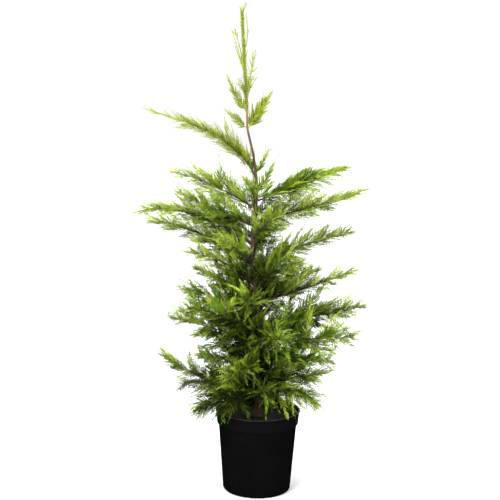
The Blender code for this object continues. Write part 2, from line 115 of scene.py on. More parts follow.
def setRamp(node, stops):
    ramp = node.color_ramp
    while len(ramp.elements) > 1:
        ramp.elements.remove(ramp.elements[-1])
    ramp.elements[0].position = stops[0][0]
    ramp.elements[0].color = hexColour(stops[0][1])
    for position, colour in stops[1:]:
        ramp.elements.new(position).color = hexColour(colour)


def objectPlace(tree):
    # where a point lies on its piece, for a socket that takes a vector
    return addNode(tree, "ShaderNodeTexCoord"), "Object"


def addNoise(tree, vector, scale, detail, roughness=0.5):
    inputs = {"Scale": scale, "Detail": detail, "Roughness": roughness}
    return addNode(tree, "ShaderNodeTexNoise", inputs=inputs, links={"Vector": vector}), "Fac"


def addTone(tree, factor, stops):
    node = addNode(tree, "ShaderNodeValToRGB", links={"Fac": factor})
    setRamp(node, stops)
    return node, "Color"


def addBump(tree, shader, height, strength, distance):
    bump = addNode(tree, "ShaderNodeBump", inputs={"Strength": strength, "Distance": distance},
                   links={"Height": height})
    tree.links.new(bump.outputs["Normal"], shader.inputs["Normal"])


def linkTo(tree, shader, key, source):
    node, output = source
    tree.links.new(node.outputs[output], shader.inputs[key])


# helpers for modelling
def deselectAll():
    if bpy.context.object and bpy.context.object.mode != "OBJECT":
        bpy.ops.object.mode_set(mode="OBJECT")
    bpy.ops.object.select_all(action="DESELECT")


def selectFaces(test):
    # in edit mode: selects the faces whose centre and normal pass the test
    work = bmesh.from_edit_mesh(bpy.context.object.data)
    bpy.ops.mesh.select_mode(type="FACE")
    for face in work.faces:
        face.select_set(bool(test(face.calc_center_median(), face.normal)))
    bmesh.update_edit_mesh(bpy.context.object.data)


def stepRing(now, radius, height):
    # carries the selected level face on to a new radius and height, and gives both back as now
    oldRadius, oldHeight = now
    bpy.ops.mesh.extrude_region_move(TRANSFORM_OT_translate={"value": (0, 0, height - oldHeight)})
    scale = radius / oldRadius
    bpy.ops.transform.resize(value=(scale, scale, 1))
    return radius, height


def stepRings(now, rings):
    for radius, height in rings:
        now = stepRing(now, radius, height)
    return now


def finishPiece(piece, name, materials, smoothDegrees=None):
    piece.name = piece.data.name = name
    for material in materials:
        piece.data.materials.append(material)
    if smoothDegrees is not None:
        bpy.ops.object.shade_smooth_by_angle(angle=math.radians(smoothDegrees))
    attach(piece, "root")


def meshFromArrays(name, points, triangles, materials, slots=None, smooth=False):
    # one joined mesh of many small things
    mesh = bpy.data.meshes.new(name)
    mesh.vertices.add(len(points))
    mesh.vertices.foreach_set("co", points.astype(np.float32).ravel())
    mesh.loops.add(len(triangles) * 3)
    mesh.loops.foreach_set("vertex_index", triangles.astype(np.int32).ravel())
    mesh.polygons.add(len(triangles))
    mesh.polygons.foreach_set("loop_start", np.arange(0, len(triangles) * 3, 3, dtype=np.int32))
    mesh.polygons.foreach_set("use_smooth", np.full(len(triangles), smooth))
    for material in materials:
        mesh.materials.append(material)
    if slots is not None:
        mesh.polygons.foreach_set("material_index", slots.astype(np.int32))
    mesh.update(calc_edges=True)
    mesh.validate()
    piece = bpy.data.objects.new(name, mesh)
    bpy.context.scene.collection.objects.link(piece)
    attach(piece, "root")
    return piece


def unit(vectors):
    return vectors / np.maximum(np.linalg.norm(vectors, axis=-1, keepdims=True), 1e-9)


def squareTo(vectors, axes):
    # what is left of the vectors at right angles to unit axes, at unit length
    return unit(vectors - axes * np.sum(vectors * axes, axis=1, keepdims=True))


def rotated(vectors, axes, angles):
    # vectors turned round unit axes, row by row
    c, s = np.cos(angles)[:, None], np.sin(angles)[:, None]
    along = np.sum(vectors * axes, axis=1, keepdims=True)
    return vectors * c + np.cross(axes, vectors) * s + axes * along * (1 - c)


# the pot: a 12 litre nursery container, injection moulded in black polypropylene
pot = {
    "sides": 120,
    "lipRadius": 0.1415, "height": 0.2755, "rimThick": 0.0042,
    "collarFootRadius": 0.1360, "collarHeight": 0.0455, "collarEdge": 0.0012,
    "bodyTopRadius": 0.1308, "bodyFootRadius": 0.1126, "midHeight": 0.118, "wall": 0.0022,
    "lipRound": 0.0021, "collarWall": 1.6,  # the collar's wall is this many times as thick as the wall
    "footRound": 0.009, "recess": 0.004, "ringWidth": 0.012, "pipRadius": 0.010,
    # the lip's top faces within the highlight depth take a painted highlight
    "holes": 8, "holeRadius": 0.006, "holeCircle": 0.074, "highlightDepth": 0.0008,
    # painted light: the collar is coloured a little lighter than the body, as it shows brighter where the
    # light falls on it
    "collarPaintedLight": "#0B0B0B", "collarLightStep": 0.004,  # the collar's tone comes in over this height
}


def polypropyleneMaterial():
    # moulded black polypropylene: near black and matt, slightly pebbled, with a breath of dust
    made, tree, shader = newMaterial("moulded_black_polypropylene", 0.40)
    place = objectPlace(tree)
    # drifts of dust about 100 mm across
    dust = addNoise(tree, place, 9.0, 6.0, 0.62)
    tone = addTone(tree, dust, [(0.35, "#070708"), (0.62, "#090909"), (0.80, "#0D0D0C")])
    split = addNode(tree, "ShaderNodeSeparateXYZ", links={"Vector": place})
    collarFoot = pot["height"] - pot["collarHeight"]
    onCollar = addNode(tree, "ShaderNodeMapRange",
                       inputs={"From Min": collarFoot, "From Max": collarFoot + pot["collarLightStep"]},
                       links={"Value": (split, "Z")})
    # painted light: the collar takes a lighter tone than the body
    collarLit = addNode(tree, "ShaderNodeMix", {"data_type": "RGBA"}, {"B": hexColour(pot["collarPaintedLight"])},
                      {"Factor": (onCollar, "Result"), "A": tone})
    linkTo(tree, shader, "Base Color", (collarLit, "Result"))
    gloss = addNode(tree, "ShaderNodeMapRange", inputs={"To Min": 0.34, "To Max": 0.50},
                    links={"Value": dust})
    linkTo(tree, shader, "Roughness", (gloss, "Result"))
    shader.inputs["Specular IOR Level"].default_value = 0.0
    # the mould's spark texture is about 1 mm across
    addBump(tree, shader, addNoise(tree, place, 900.0, 2.0), 0.10, 0.0003)
    return made


def lipHighlightMaterial():
    # the lip's top: a paler colour painted on as a highlight, seen as a thin pale line, over a real sheen
    # from a stronger specular
    made, tree, shader = newMaterial("lip_painted_highlight", 0.35)
    # patches in the painted highlight about 15 mm long
    highlightPatches = addNoise(tree, objectPlace(tree), 65.0, 5.0, 0.6)
    tone = addTone(tree, highlightPatches, [(0.38, "#101011"), (0.60, "#2A2B2C"), (0.78, "#4A4B4C")])
    linkTo(tree, shader, "Base Color", tone)
    shader.inputs["Specular IOR Level"].default_value = 0.35
    return made


def potBodyRadius(height):
    share = height / (pot["height"] - pot["collarHeight"])
    return pot["bodyFootRadius"] + (pot["bodyTopRadius"] - pot["bodyFootRadius"]) * share


def addPot():
    collarFoot = pot["height"] - pot["collarHeight"]
    footRound, wall, edge = pot["footRound"], pot["wall"], pot["collarEdge"]
    flatFoot = pot["bodyFootRadius"] - footRound
    floor = pot["recess"] + wall
    deselectAll()
    startHeight, startRadius = footRound * 0.06, flatFoot + footRound * 0.30
    bpy.ops.mesh.primitive_cylinder_add(
        vertices=pot["sides"], radius=flatFoot, depth=startHeight, location=(0, 0, startHeight / 2))
    piece = bpy.context.object
    bpy.ops.object.transform_apply(location=True)
    bpy.ops.object.mode_set(mode="EDIT")
    selectFaces(lambda centre, normal: normal.z > 0.9)
    bpy.ops.transform.resize(value=(startRadius / flatFoot, startRadius / flatFoot, 1))
    now = (startRadius, startHeight)
    for angle in np.radians((30, 50, 70, 90)).tolist():  # the rounded foot
        now = stepRing(now, flatFoot + math.sin(angle) * (potBodyRadius(footRound) - flatFoot),
                       footRound * (1 - math.cos(angle)))
    now = stepRings(now, (
        (potBodyRadius(pot["midHeight"]), pot["midHeight"]),
        (potBodyRadius(collarFoot - 0.006), collarFoot - 0.006),
        (potBodyRadius(collarFoot) + 0.0006, collarFoot - 0.0012),
        (pot["collarFootRadius"] - edge, collarFoot),
        (pot["collarFootRadius"], collarFoot + edge),
        (pot["lipRadius"] - 0.0020, pot["height"] - 0.0062),
        (pot["lipRadius"], pot["height"] - 0.0050),  # the rolled lip stands out a little
    ))
    lipMiddle = pot["lipRadius"] - pot["rimThick"] / 2
    for angle in np.radians((0, 30, 60, 90, 120, 150, 180)).tolist():
        now = stepRing(now, lipMiddle + math.cos(angle) * pot["rimThick"] / 2,
                       pot["height"] - pot["lipRound"] + math.sin(angle) * pot["lipRound"])
    now = stepRings(now, (
        (pot["collarFootRadius"] - wall * pot["collarWall"], collarFoot + 0.004),
        (potBodyRadius(collarFoot) - wall, collarFoot - 0.002),
        (potBodyRadius(footRound) - wall, floor + footRound),
        (flatFoot + footRound / 2 - wall, floor),
    ))
    # under the foot: a ring to stand on, a recess inside it and a moulding pip in the middle
    selectFaces(lambda centre, normal: normal.z < -0.9 and centre.z < 1e-5)
    bpy.ops.mesh.inset(thickness=pot["ringWidth"])
    now = (flatFoot - pot["ringWidth"], 0.0)
    now = stepRing(now, now[0] - 0.003, pot["recess"])
    bpy.ops.mesh.inset(thickness=now[0] - pot["pipRadius"] - 0.002)
    now = (pot["pipRadius"] + 0.002, pot["recess"])
    now = stepRing(now, pot["pipRadius"], 0.0)
    bpy.ops.mesh.select_all(action="SELECT")
    bpy.ops.mesh.normals_make_consistent(inside=False)
    bpy.ops.object.mode_set(mode="OBJECT")
    drills = []
    for number in range(pot["holes"]):
        angle = math.tau * (number + 0.5) / pot["holes"]
        bpy.ops.mesh.primitive_cylinder_add(
            vertices=20, radius=pot["holeRadius"], depth=wall * 6,
            location=(pot["holeCircle"] * math.cos(angle), pot["holeCircle"] * math.sin(angle), floor))
        drills.append(bpy.context.object)
    for drill in drills:
        deselectAll()
        piece.select_set(True)
        bpy.context.view_layer.objects.active = piece
        cut = piece.modifiers.new("drain", "BOOLEAN")
        cut.object = drill
        cut.operation = "DIFFERENCE"
        bpy.ops.object.modifier_apply(modifier=cut.name)
        bpy.data.objects.remove(drill)
    piece.select_set(True)
    finishPiece(piece, "nursery_pot", [polypropyleneMaterial(), lipHighlightMaterial()], smoothDegrees=32)
    # the faces at the lip's top take the painted highlight
    for face in piece.data.polygons:
        face.material_index = int(face.center.z > pot["height"] - pot["highlightDepth"])
    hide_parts("pot")


addPot()
print("pot modelled")


# the compost: peat and bark fines, a little uneven, with loose crumbs and chips on it
compost = {
    "top": 0.251, "sides": 128, "clearance": 0.0006,
    "ringStep": 0.0035, "openMiddle": 0.012, "swell": 0.0045, "grain": 0.0022,
    "broadScale": 14, "fineScale": 130,  # swellings about 70 mm across and lumps about 8 mm
    "crumbs": 1500, "crumbMm": (1.2, 4.5), "chips": 150, "chipMm": (5.0, 13.0),
    "crumbWidth": (0.35, 0.8), "crumbHeight": (0.2, 0.6),  # shares of a crumb's length
    "crumbMargin": 0.006, "crumbLift": 0.08,
    "shades": ("#120B08", "#1C110B", "#2A1910", "#3C271A"),
}


def compostMaterial():
    # moist peat: very dark red-brown, dull, with paler fibres
    made, tree, shader = newMaterial("moist_peat_compost", 0.95)
    # crumbs 2 to 4 mm across
    crumb = addNoise(tree, objectPlace(tree), 320.0, 8.0, 0.7)
    tone = addTone(tree, crumb, [(0.30, "#080503"), (0.48, "#120B07"), (0.60, "#1E120C"), (0.75, "#3A2819")])
    linkTo(tree, shader, "Base Color", tone)
    addBump(tree, shader, crumb, 0.7, 0.002)
    return made


def surfaceHeight(x, y):
    # the compost's uneven top, never above its level
    broad = noise.noise(Vector((x * compost["broadScale"], y * compost["broadScale"], 3.1)))
    fine = noise.noise(Vector((x * compost["fineScale"], y * compost["fineScale"], 8.7)))
    return compost["top"] - compost["swell"] * (0.5 - 0.5 * broad) - compost["grain"] * (0.5 - 0.5 * fine)


def addCompost():
    collarFoot = pot["height"] - pot["collarHeight"]
    wall, gap = pot["wall"], compost["clearance"]
    share = (compost["top"] - collarFoot - 0.004) / (pot["collarHeight"] - 0.006)
    innerLow = pot["collarFootRadius"] - wall * pot["collarWall"]
    topRadius = innerLow + (pot["lipRadius"] - pot["rimThick"] - innerLow) * share - gap
    floor = pot["recess"] + wall + gap
    flatFoot = pot["bodyFootRadius"] - pot["footRound"] / 2 - wall - gap
    deselectAll()
    bpy.ops.mesh.primitive_cylinder_add(
        vertices=compost["sides"], radius=flatFoot, depth=0.001, location=(0, 0, floor + 0.0005))
    piece = bpy.context.object
    bpy.ops.object.transform_apply(location=True)
    bpy.ops.object.mode_set(mode="EDIT")
    selectFaces(lambda centre, normal: normal.z > 0.9)
    now = (flatFoot, floor + 0.001)
    stepRings(now, (
        (potBodyRadius(pot["footRound"]) - wall - gap, floor + pot["footRound"]),
        (potBodyRadius(collarFoot) - wall - gap, collarFoot - 0.002),
        (innerLow - gap, collarFoot + 0.004),
        (topRadius, compost["top"] - 0.002),
    ))
    for _ in range(int((topRadius - compost["openMiddle"]) / compost["ringStep"])):
        bpy.ops.mesh.inset(thickness=compost["ringStep"])
    bpy.ops.mesh.quads_convert_to_tris()
    bpy.ops.object.mode_set(mode="OBJECT")
    for point in piece.data.vertices:
        if point.co.z > compost["top"] - 0.003:
            point.co.z = surfaceHeight(point.co.x, point.co.y)
    finishPiece(piece, "compost_bed", [compostMaterial()], smoothDegrees=60)
    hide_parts("compost")
    return topRadius


def crumbTemplate():
    # one rough crumb of 20 faces, pushed out of round
    deselectAll()
    bpy.ops.mesh.primitive_ico_sphere_add(subdivisions=1, radius=0.5)
    ball = bpy.context.object
    bpy.ops.object.mode_set(mode="EDIT")
    bpy.ops.transform.vertex_random(offset=0.16, seed=4)
    bpy.ops.object.mode_set(mode="OBJECT")
    points, triangles = meshArrays(ball.data)
    bpy.data.objects.remove(ball)
    return points, triangles


def meshArrays(mesh):
    mesh.calc_loop_triangles()
    points = np.empty(len(mesh.vertices) * 3)
    mesh.vertices.foreach_get("co", points)
    triangles = np.empty(len(mesh.loop_triangles) * 3, dtype=np.int32)
    mesh.loop_triangles.foreach_get("vertices", triangles)
    return points.reshape(-1, 3), triangles.reshape(-1, 3)


def stamp(points, triangles, origins, frames, scales):
    # copies of one template: frames are (n, 3, 3) rows of axes, scales are (n, 3)
    placed = np.einsum("nvi,nij->nvj", points[None] * scales[:, None], frames) + origins[:, None]
    offsets = np.arange(len(origins))[:, None, None] * len(points)
    return placed.reshape(-1, 3), (triangles[None] + offsets).reshape(-1, 3)


def randomFrames(count):
    first = unit(rng.normal(size=(count, 3)))
    second = unit(np.cross(first, unit(rng.normal(size=(count, 3)))))
    return np.stack([first, second, np.cross(first, second)], axis=1)


def addCrumbs(topRadius):
    points, triangles = crumbTemplate()
    count = compost["crumbs"] + compost["chips"]
    radius = (topRadius - compost["crumbMargin"]) * np.sqrt(rng.uniform(0.02, 1, count))
    angle = rng.uniform(0, math.tau, count)
    isChip = np.arange(count) >= compost["crumbs"]
    low = np.where(isChip, compost["chipMm"][0], compost["crumbMm"][0])
    high = np.where(isChip, compost["chipMm"][1], compost["crumbMm"][1])
    size = (low + (high - low) * rng.uniform(0, 1, count) ** 2) / 1000
    width, height = rng.uniform(*compost["crumbWidth"], count), rng.uniform(*compost["crumbHeight"], count)
    stretch = np.stack([np.ones(count), width, height], axis=1)
    x, y = radius * np.cos(angle), radius * np.sin(angle)
    bed = np.array([surfaceHeight(a, b) for a, b in zip(x, y)])
    origins = np.stack([x, y, bed + size * compost["crumbLift"]], axis=1)
    frames = randomFrames(count)
    allPoints, allTriangles = stamp(points, triangles, origins, frames, size[:, None] * stretch)
    shade = rng.integers(0, len(compost["shades"]), count)
    shades = [newMaterial(f"bark_fines_{n}", 0.9, colour)[0] for n, colour in enumerate(compost["shades"])]
    piece = meshFromArrays("bark_crumbs", allPoints, allTriangles, shades, np.repeat(shade, len(triangles)))


addCrumbs(addCompost())
print("compost laid")


# the trunk, whole from the compost to the leader's fork, in metres
trunk = {
    "foot": 0.2513, "top": 1.578, "footRadius": 0.0135, "tipRadius": 0.0021, "taper": 1.6,
    "flare": 0.0065, "flareHeight": 0.022, "sides": 22, "rings": 330,
    "crowdLow": 1.12,  # the rings stand closer low down
    "relief": 0.0007, "fullReliefFrom": 0.006,  # depth of the bark's ridges, less where the trunk is thinner
    "ridgeScale": 420, "ridgeRise": 38,  # ridges about 2 mm wide and 26 mm long
    "knotScale": 60, "knotRise": 24, "knotShare": 0.9,  # swellings about 17 mm wide and 42 mm long
    "bends": (
        (0.251, 0.000), (0.30, 0.001), (0.51, -0.006), (0.64, -0.010), (0.70, -0.017), (0.78, -0.031),
        (0.93, -0.021), (1.02, -0.016), (1.12, -0.029), (1.21, -0.051), (1.34, -0.0575), (1.46, -0.066),
        (1.578, -0.074),
    ),
}


def trunkOffset(height):
    heights, offsets = zip(*trunk["bends"])
    return np.interp(height, heights, offsets)


def trunkRadius(height):
    rise = (height - trunk["foot"]) / (trunk["top"] - trunk["foot"])
    taper = trunk["tipRadius"] + (trunk["footRadius"] - trunk["tipRadius"]) * (1 - rise) ** trunk["taper"]
    return taper + trunk["flare"] * np.exp(-(height - trunk["foot"]) / trunk["flareHeight"])


def barkMaterial():
    # young bark: grey-brown plates over red-brown, orange where the shoot is a year old, green above
    made, tree, shader = newMaterial("young_cypress_bark", 0.82)
    place = objectPlace(tree)
    # plates about 3 mm wide and 15 mm long
    stretch = addNode(tree, "ShaderNodeMapping", inputs={"Scale": (330.0, 330.0, 65.0)},
                      links={"Vector": place})
    plates = addNoise(tree, (stretch, "Vector"), 1.0, 7.0, 0.65)
    tone = addTone(tree, plates, [(0.30, "#1B120D"), (0.45, "#3E2A1D"), (0.56, "#55402F"), (0.72, "#73614F")])
    split = addNode(tree, "ShaderNodeSeparateXYZ", links={"Vector": place})
    # age runs from 0 at the compost to 1 at the leader's fork
    age = addNode(tree, "ShaderNodeMapRange", inputs={"From Min": compost["top"], "From Max": trunk["top"]},
                  links={"Value": (split, "Z")})
    shoot = addTone(tree, (age, "Result"),
                    [(0.0, "#1E150E"), (0.08, "#463426"), (0.60, "#4A332A"), (0.70, "#5C3C2C"),
                     (0.735, "#8A5C34"), (0.775, "#8C6E30"), (0.80, "#6E7A22"), (0.90, "#7C8E2C")])
    young = addNode(tree, "ShaderNodeMapRange",
                    inputs={"From Min": 0.55, "From Max": 0.76, "To Min": 0.25, "To Max": 0.95},
                    links={"Value": (age, "Result")})
    colour = addNode(tree, "ShaderNodeMix", {"data_type": "RGBA"},
                     links={"Factor": (young, "Result"), "A": tone, "B": shoot})
    linkTo(tree, shader, "Base Color", (colour, "Result"))
    addBump(tree, shader, plates, 0.6, 0.0012)
    return made


def addTrunk(material):
    deselectAll()
    shares = np.linspace(0, 1, trunk["rings"]) ** trunk["crowdLow"]
    heights = trunk["foot"] + (trunk["top"] - trunk["foot"]) * shares
    bpy.ops.mesh.primitive_cylinder_add(
        vertices=trunk["sides"], radius=float(trunkRadius(heights[0])), depth=float(heights[1] - heights[0]),
        location=(float(trunkOffset(heights[0])), 0, float((heights[0] + heights[1]) / 2)))
    piece = bpy.context.object
    bpy.ops.object.transform_apply(location=True)
    bpy.ops.object.mode_set(mode="EDIT")
    selectFaces(lambda centre, normal: normal.z > 0.9)
    now = (float(trunkRadius(heights[0])), float(heights[1]))
    for low, height in zip(heights[1:], heights[2:]):
        now = stepRing(now, float(trunkRadius(height)), float(height))
        shift = float(trunkOffset(height) - trunkOffset(low))
        bpy.ops.transform.translate(value=(shift, 0, 0))
    bpy.ops.object.mode_set(mode="OBJECT")
    for point in piece.data.vertices:
        middle = Vector((float(trunkOffset(point.co.z)), 0, point.co.z))
        away = point.co - middle
        if away.length < 1e-5 or point.co.z < trunk["foot"] + 1e-4:
            continue
        fine, coarse, z = trunk["ridgeScale"], trunk["knotScale"], point.co.z
        ridge = noise.noise(Vector((away.x * fine / (1 + away.length * 40), away.y * fine,
                                    z * trunk["ridgeRise"])))
        knot = noise.noise(Vector((away.x * coarse, away.y * coarse, z * trunk["knotRise"] + 5)))
        depth = trunk["relief"] * min(1.0, away.length / trunk["fullReliefFrom"])
        point.co += away.normalized() * (depth * ridge + depth * trunk["knotShare"] * knot)
    finishPiece(piece, "trunk_bark", [material], smoothDegrees=50)
    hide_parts("trunk")


bark = barkMaterial()
addTrunk(bark)
print("trunk grown")


# the limbs: height, heading, reach, rise and the slopes at which each leaves and arrives are the solids' own
# numbers, while the length of its longest frond, how full it is and its bare whip are set here for the looks
limbFields = ("name", "height", "heading", "reach", "rise", "leave", "arrive", "frond", "fullness", "whip")
limbRows = (
    ("upper_left", 1.047, 174, 0.365, 0.217, 68, 14, 0.055, 1.6, 0.25),
    ("left_shoulder", 0.949, 162, 0.315, 0.110, 30, 6, 0.092, 1.0, 0.05),
    ("left_shoulder_front", 0.890, 201, 0.287, 0.129, 26, 24, 0.084, 1.2, 0.08),
    ("left_arm", 0.833, 188, 0.407, 0.097, 36, -22, 0.086, 1.35, 0.14),
    ("left_arm_low", 0.770, 168, 0.384, 0.126, 38, 4, 0.092, 1.25, 0.10),
    ("left_waist", 0.694, 204, 0.258, 0.127, 45, 6, 0.088, 1.2, 0.05),
    ("left_hip", 0.627, 150, 0.249, 0.105, 35, 22, 0.095, 1.1, 0.0),
    ("left_hip_front", 0.593, 186, 0.256, 0.093, 30, 12, 0.115, 1.0, 0.0),
    ("left_fan_front", 0.543, 216, 0.300, 0.105, 30, 10, 0.110, 1.0, 0.0),
    ("left_fan", 0.492, 170, 0.299, 0.078, 22, 6, 0.120, 1.0, 0.0),
    ("left_low_back", 0.400, 144, 0.258, 0.022, 16, 0, 0.110, 1.0, 0.0),
    ("low_left_upturned", 0.346, 194, 0.349, 0.142, 6, 38, 0.092, 1.2, 0.06),
    ("low_left_dark", 0.338, 160, 0.296, -0.010, 14, -12, 0.095, 0.9, 0.0),
    ("low_left_drooping", 0.306, 220, 0.262, -0.004, 26, -32, 0.105, 1.4, 0.0),
    ("right_shoulder", 0.974, 8, 0.312, 0.110, 18, 16, 0.105, 1.15, 0.10),
    ("right_arm", 0.903, -12, 0.376, 0.130, 20, 26, 0.085, 1.3, 0.10),
    ("right_stub", 0.827, 38, 0.155, 0.067, 28, 6, 0.085, 0.8, 0.0),
    ("right_arm_low", 0.750, 10, 0.368, 0.131, 34, 16, 0.088, 1.2, 0.12),
    ("right_fan_front", 0.694, -50, 0.226, 0.106, 40, 10, 0.105, 1.2, 0.0),
    ("right_whip", 0.634, -6, 0.352, 0.132, 20, 22, 0.084, 1.0, 0.12),
    ("right_hip_back", 0.644, 42, 0.295, 0.072, 22, 10, 0.095, 1.3, 0.0),
    ("right_hip", 0.543, 14, 0.379, 0.073, 18, 12, 0.110, 1.3, 0.05),
    ("right_skirt_front", 0.475, -18, 0.333, 0.074, 22, 2, 0.120, 1.0, 0.0),
    ("right_skirt_back", 0.400, 32, 0.316, -0.008, 20, -26, 0.110, 1.0, 0.0),
    ("low_right", 0.356, -8, 0.237, 0.052, 18, 4, 0.105, 1.0, 0.0),
    ("low_right_front", 0.318, -38, 0.240, 0.014, 30, -32, 0.105, 1.3, 0.0),
    ("front_high", 0.955, -98, 0.200, 0.105, 40, 12, 0.078, 0.4, 0.0),
    ("front_shoulder", 0.850, -68, 0.255, 0.110, 34, 10, 0.078, 0.75, 0.0),
    ("front_chest", 0.770, -112, 0.275, 0.100, 32, 6, 0.082, 0.7, 0.0),
    ("front_waist", 0.610, -100, 0.285, 0.085, 28, 4, 0.090, 1.0, 0.0),
    ("front_hip", 0.505, -72, 0.280, 0.060, 26, 0, 0.092, 1.5, 0.0),
    ("front_skirt", 0.405, -112, 0.270, 0.030, 22, -10, 0.090, 1.5, 0.0),
    ("front_foot", 0.325, -82, 0.205, 0.030, 34, -24, 0.068, 0.9, 0.0),
    ("back_high", 0.925, 92, 0.235, 0.115, 36, 14, 0.095, 0.5, 0.0),
    ("back_shoulder", 0.800, 72, 0.270, 0.105, 32, 8, 0.100, 0.6, 0.0),
    ("back_chest", 0.715, 112, 0.290, 0.095, 30, 6, 0.105, 0.7, 0.0),
    ("back_waist", 0.585, 84, 0.300, 0.080, 26, 4, 0.120, 1.0, 0.0),
    ("back_skirt", 0.460, 106, 0.285, 0.045, 22, -4, 0.115, 1.0, 0.0),
    ("back_foot", 0.345, 76, 0.250, 0.020, 24, -20, 0.100, 1.0, 0.0),
    ("knee_spray", 1.062, -20, 0.045, 0.086, 60, 66, 0.042, 1.0, 0.0),
    ("inner_upright", 0.995, -28, 0.070, 0.128, 58, 72, 0.062, 1.0, 0.0),
    ("top_right_spray", 1.205, 5, 0.073, 0.117, 64, 50, 0.070, 1.0, 0.0),
    ("top_left_spray", 1.262, 172, 0.064, 0.110, 48, 74, 0.045, 1.0, 0.0),
    ("top_left_low_spray", 1.210, 190, 0.072, 0.060, 34, 50, 0.042, 1.0, 0.0),
    ("leader_left_twig", 1.394, 184, 0.045, 0.126, 66, 70, 0.018, 0.8, 0.3),
    ("leader_right_twig", 1.352, -6, 0.029, 0.112, 56, 86, 0.026, 0.9, 0.2),
    ("leader_tip", 1.574, 0, 0.015, 0.035, 66, 66, 0.014, 1.0, 0.0),
)
limbs = [dict(zip(limbFields, row)) for row in limbRows]
# the limbs whose first stretch is a bough of its own
boughNames = ("upper_left", "left_arm", "left_arm_low", "low_left_upturned", "right_shoulder", "right_arm",
              "right_arm_low", "right_whip", "right_hip")


def limbLength(limb):
    return math.hypot(limb["reach"], limb["rise"])


def limbPoints(limb, shares):
    # points on a limb's cubic curve
    turn, leave, arrive = (math.radians(limb[key]) for key in ("heading", "leave", "arrive"))
    root = np.array([float(trunkOffset(limb["height"])), 0.0, limb["height"]])
    out = np.array([math.cos(turn), math.sin(turn), 0.0])
    tip = root + out * limb["reach"] + up * limb["rise"]
    handle = np.linalg.norm(tip - root) / 3
    first = root + (out * math.cos(leave) + up * math.sin(leave)) * handle
    second = tip - (out * math.cos(arrive) + up * math.sin(arrive)) * handle
    t = np.asarray(shares)[:, None]
    return root * (1 - t)**3 + first * 3 * (1 - t)**2 * t + second * 3 * (1 - t) * t**2 + tip * t**3


def limbDirections(limb, shares):
    step = 0.01
    ahead = limbPoints(limb, np.minimum(1, shares + step)) - limbPoints(limb, np.maximum(0, shares - step))
    return unit(ahead)


# the bark of the boughs and of the stems inside the foliage
boughs = {
    "radiusPerLength": 0.0125, "radiusToTrunk": 0.62, "leastRadius": 0.0016, "tipRadius": 0.0007,
    "taper": 0.8, "sides": 9, "rings": 34, "lastShare": 0.97, "relief": 0.00022,
    "greenFrom": 0.62, "greenAbove": 1.15,
    "collarSwell": 0.35, "collarFade": 28,  # a swelling where the limb joins the trunk
}


def tubeArrays(centres, radii, sides):
    # tubes through (n, m, 3) centres with (n, m) radii, open at both ends
    count, rings = radii.shape
    ahead = unit(np.gradient(centres, axis=1))
    side = unit(np.cross(ahead, np.array([0.31, 0.22, 0.93])))
    above = np.cross(side, ahead)
    angle = math.tau * np.arange(sides) / sides
    circle = side[:, :, None] * np.cos(angle)[:, None] + above[:, :, None] * np.sin(angle)[:, None]
    points = centres[:, :, None] + circle * radii[:, :, None, None]
    ring = np.arange(rings - 1)[:, None] * sides
    here, ahead1 = ring + np.arange(sides), ring + (np.arange(sides) + 1) % sides
    quads = np.stack([here, ahead1, ahead1 + sides, here + sides], axis=-1).reshape(-1, 4)
    triangles = np.concatenate([quads[:, [0, 1, 2]], quads[:, [0, 2, 3]]], axis=0)
    offsets = np.arange(count)[:, None, None] * rings * sides
    return points.reshape(-1, 3), (triangles[None] + offsets).reshape(-1, 3), triangles


def boughRootRadius(limb):
    byLength = limbLength(limb) * boughs["radiusPerLength"]
    byTrunk = float(trunkRadius(limb["height"])) * boughs["radiusToTrunk"]
    return max(boughs["leastRadius"], min(byLength, byTrunk))


def addBoughs():
    shares = np.linspace(0.0, boughs["lastShare"], boughs["rings"])
    centres = np.stack([limbPoints(limb, shares) for limb in limbs])
    roots = np.array([boughRootRadius(limb) for limb in limbs])
    taper = (1 - shares) ** boughs["taper"]
    radii = boughs["tipRadius"] + (roots[:, None] - boughs["tipRadius"]) * taper
    collar = 1 + boughs["collarSwell"] * np.exp(-shares * boughs["collarFade"])
    points, triangles, _ = tubeArrays(centres, radii * collar, boughs["sides"])
    ridge = np.array([noise.noise(Vector((p[0] * 300, p[1] * 300, p[2] * 300))) for p in points])
    centrePoints = np.repeat(centres.reshape(-1, 3), boughs["sides"], axis=0)
    points = points + unit(points - centrePoints) * (ridge * boughs["relief"])[:, None]
    perLimb = len(triangles) // len(limbs)
    ringOf = (triangles.reshape(len(limbs), perLimb, 3)[0, :, 0] // boughs["sides"])
    greenFrom = np.array([0.0 if limb["height"] > boughs["greenAbove"] else boughs["greenFrom"]
                          for limb in limbs])
    slots = (shares[ringOf][None] >= greenFrom[:, None]).astype(int).ravel()
    greenShoot = newMaterial("ripening_green_shoot", 0.55, "#8C9A36")[0]
    piece = meshFromArrays("bough_bark", points, triangles, [boughMaterial(), greenShoot], slots, smooth=True)
    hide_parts(*[f"bough_{name}" for name in boughNames])


def boughMaterial():
    # thin bark on the boughs: red-brown, smoother than the trunk's
    made, tree, shader = newMaterial("thin_bough_bark", 0.72)
    # flecks about 2 mm long
    fleck = addNoise(tree, objectPlace(tree), 420.0, 5.0)
    tone = addTone(tree, fleck, [(0.34, "#20150E"), (0.52, "#3D281A"), (0.70, "#5C4230")])
    linkTo(tree, shader, "Base Color", tone)
    addBump(tree, shader, fleck, 0.4, 0.0006)
    return made


addBoughs()
print("boughs grown")


# one branchlet of scale leaves: a rib that curves forwards, with pointed side shoots swept along it
branchlet = {
    # for each number of pairs of side shoots: the rib's half width, a side shoot's half width and its reach
    "sizes": {2: (0.060, 0.072, (0.30, 0.15)), 4: (0.050, 0.050, (0.25, 0.12)),
              6: (0.042, 0.040, (0.20, 0.10)), 8: (0.036, 0.034, (0.160, 0.085))},
    "sweepDegrees": 30, "liftDegrees": 12, "firstTooth": 0.12, "lastTooth": 0.84,
    "forwardCurve": 0.16, "droop": 0.07,
}


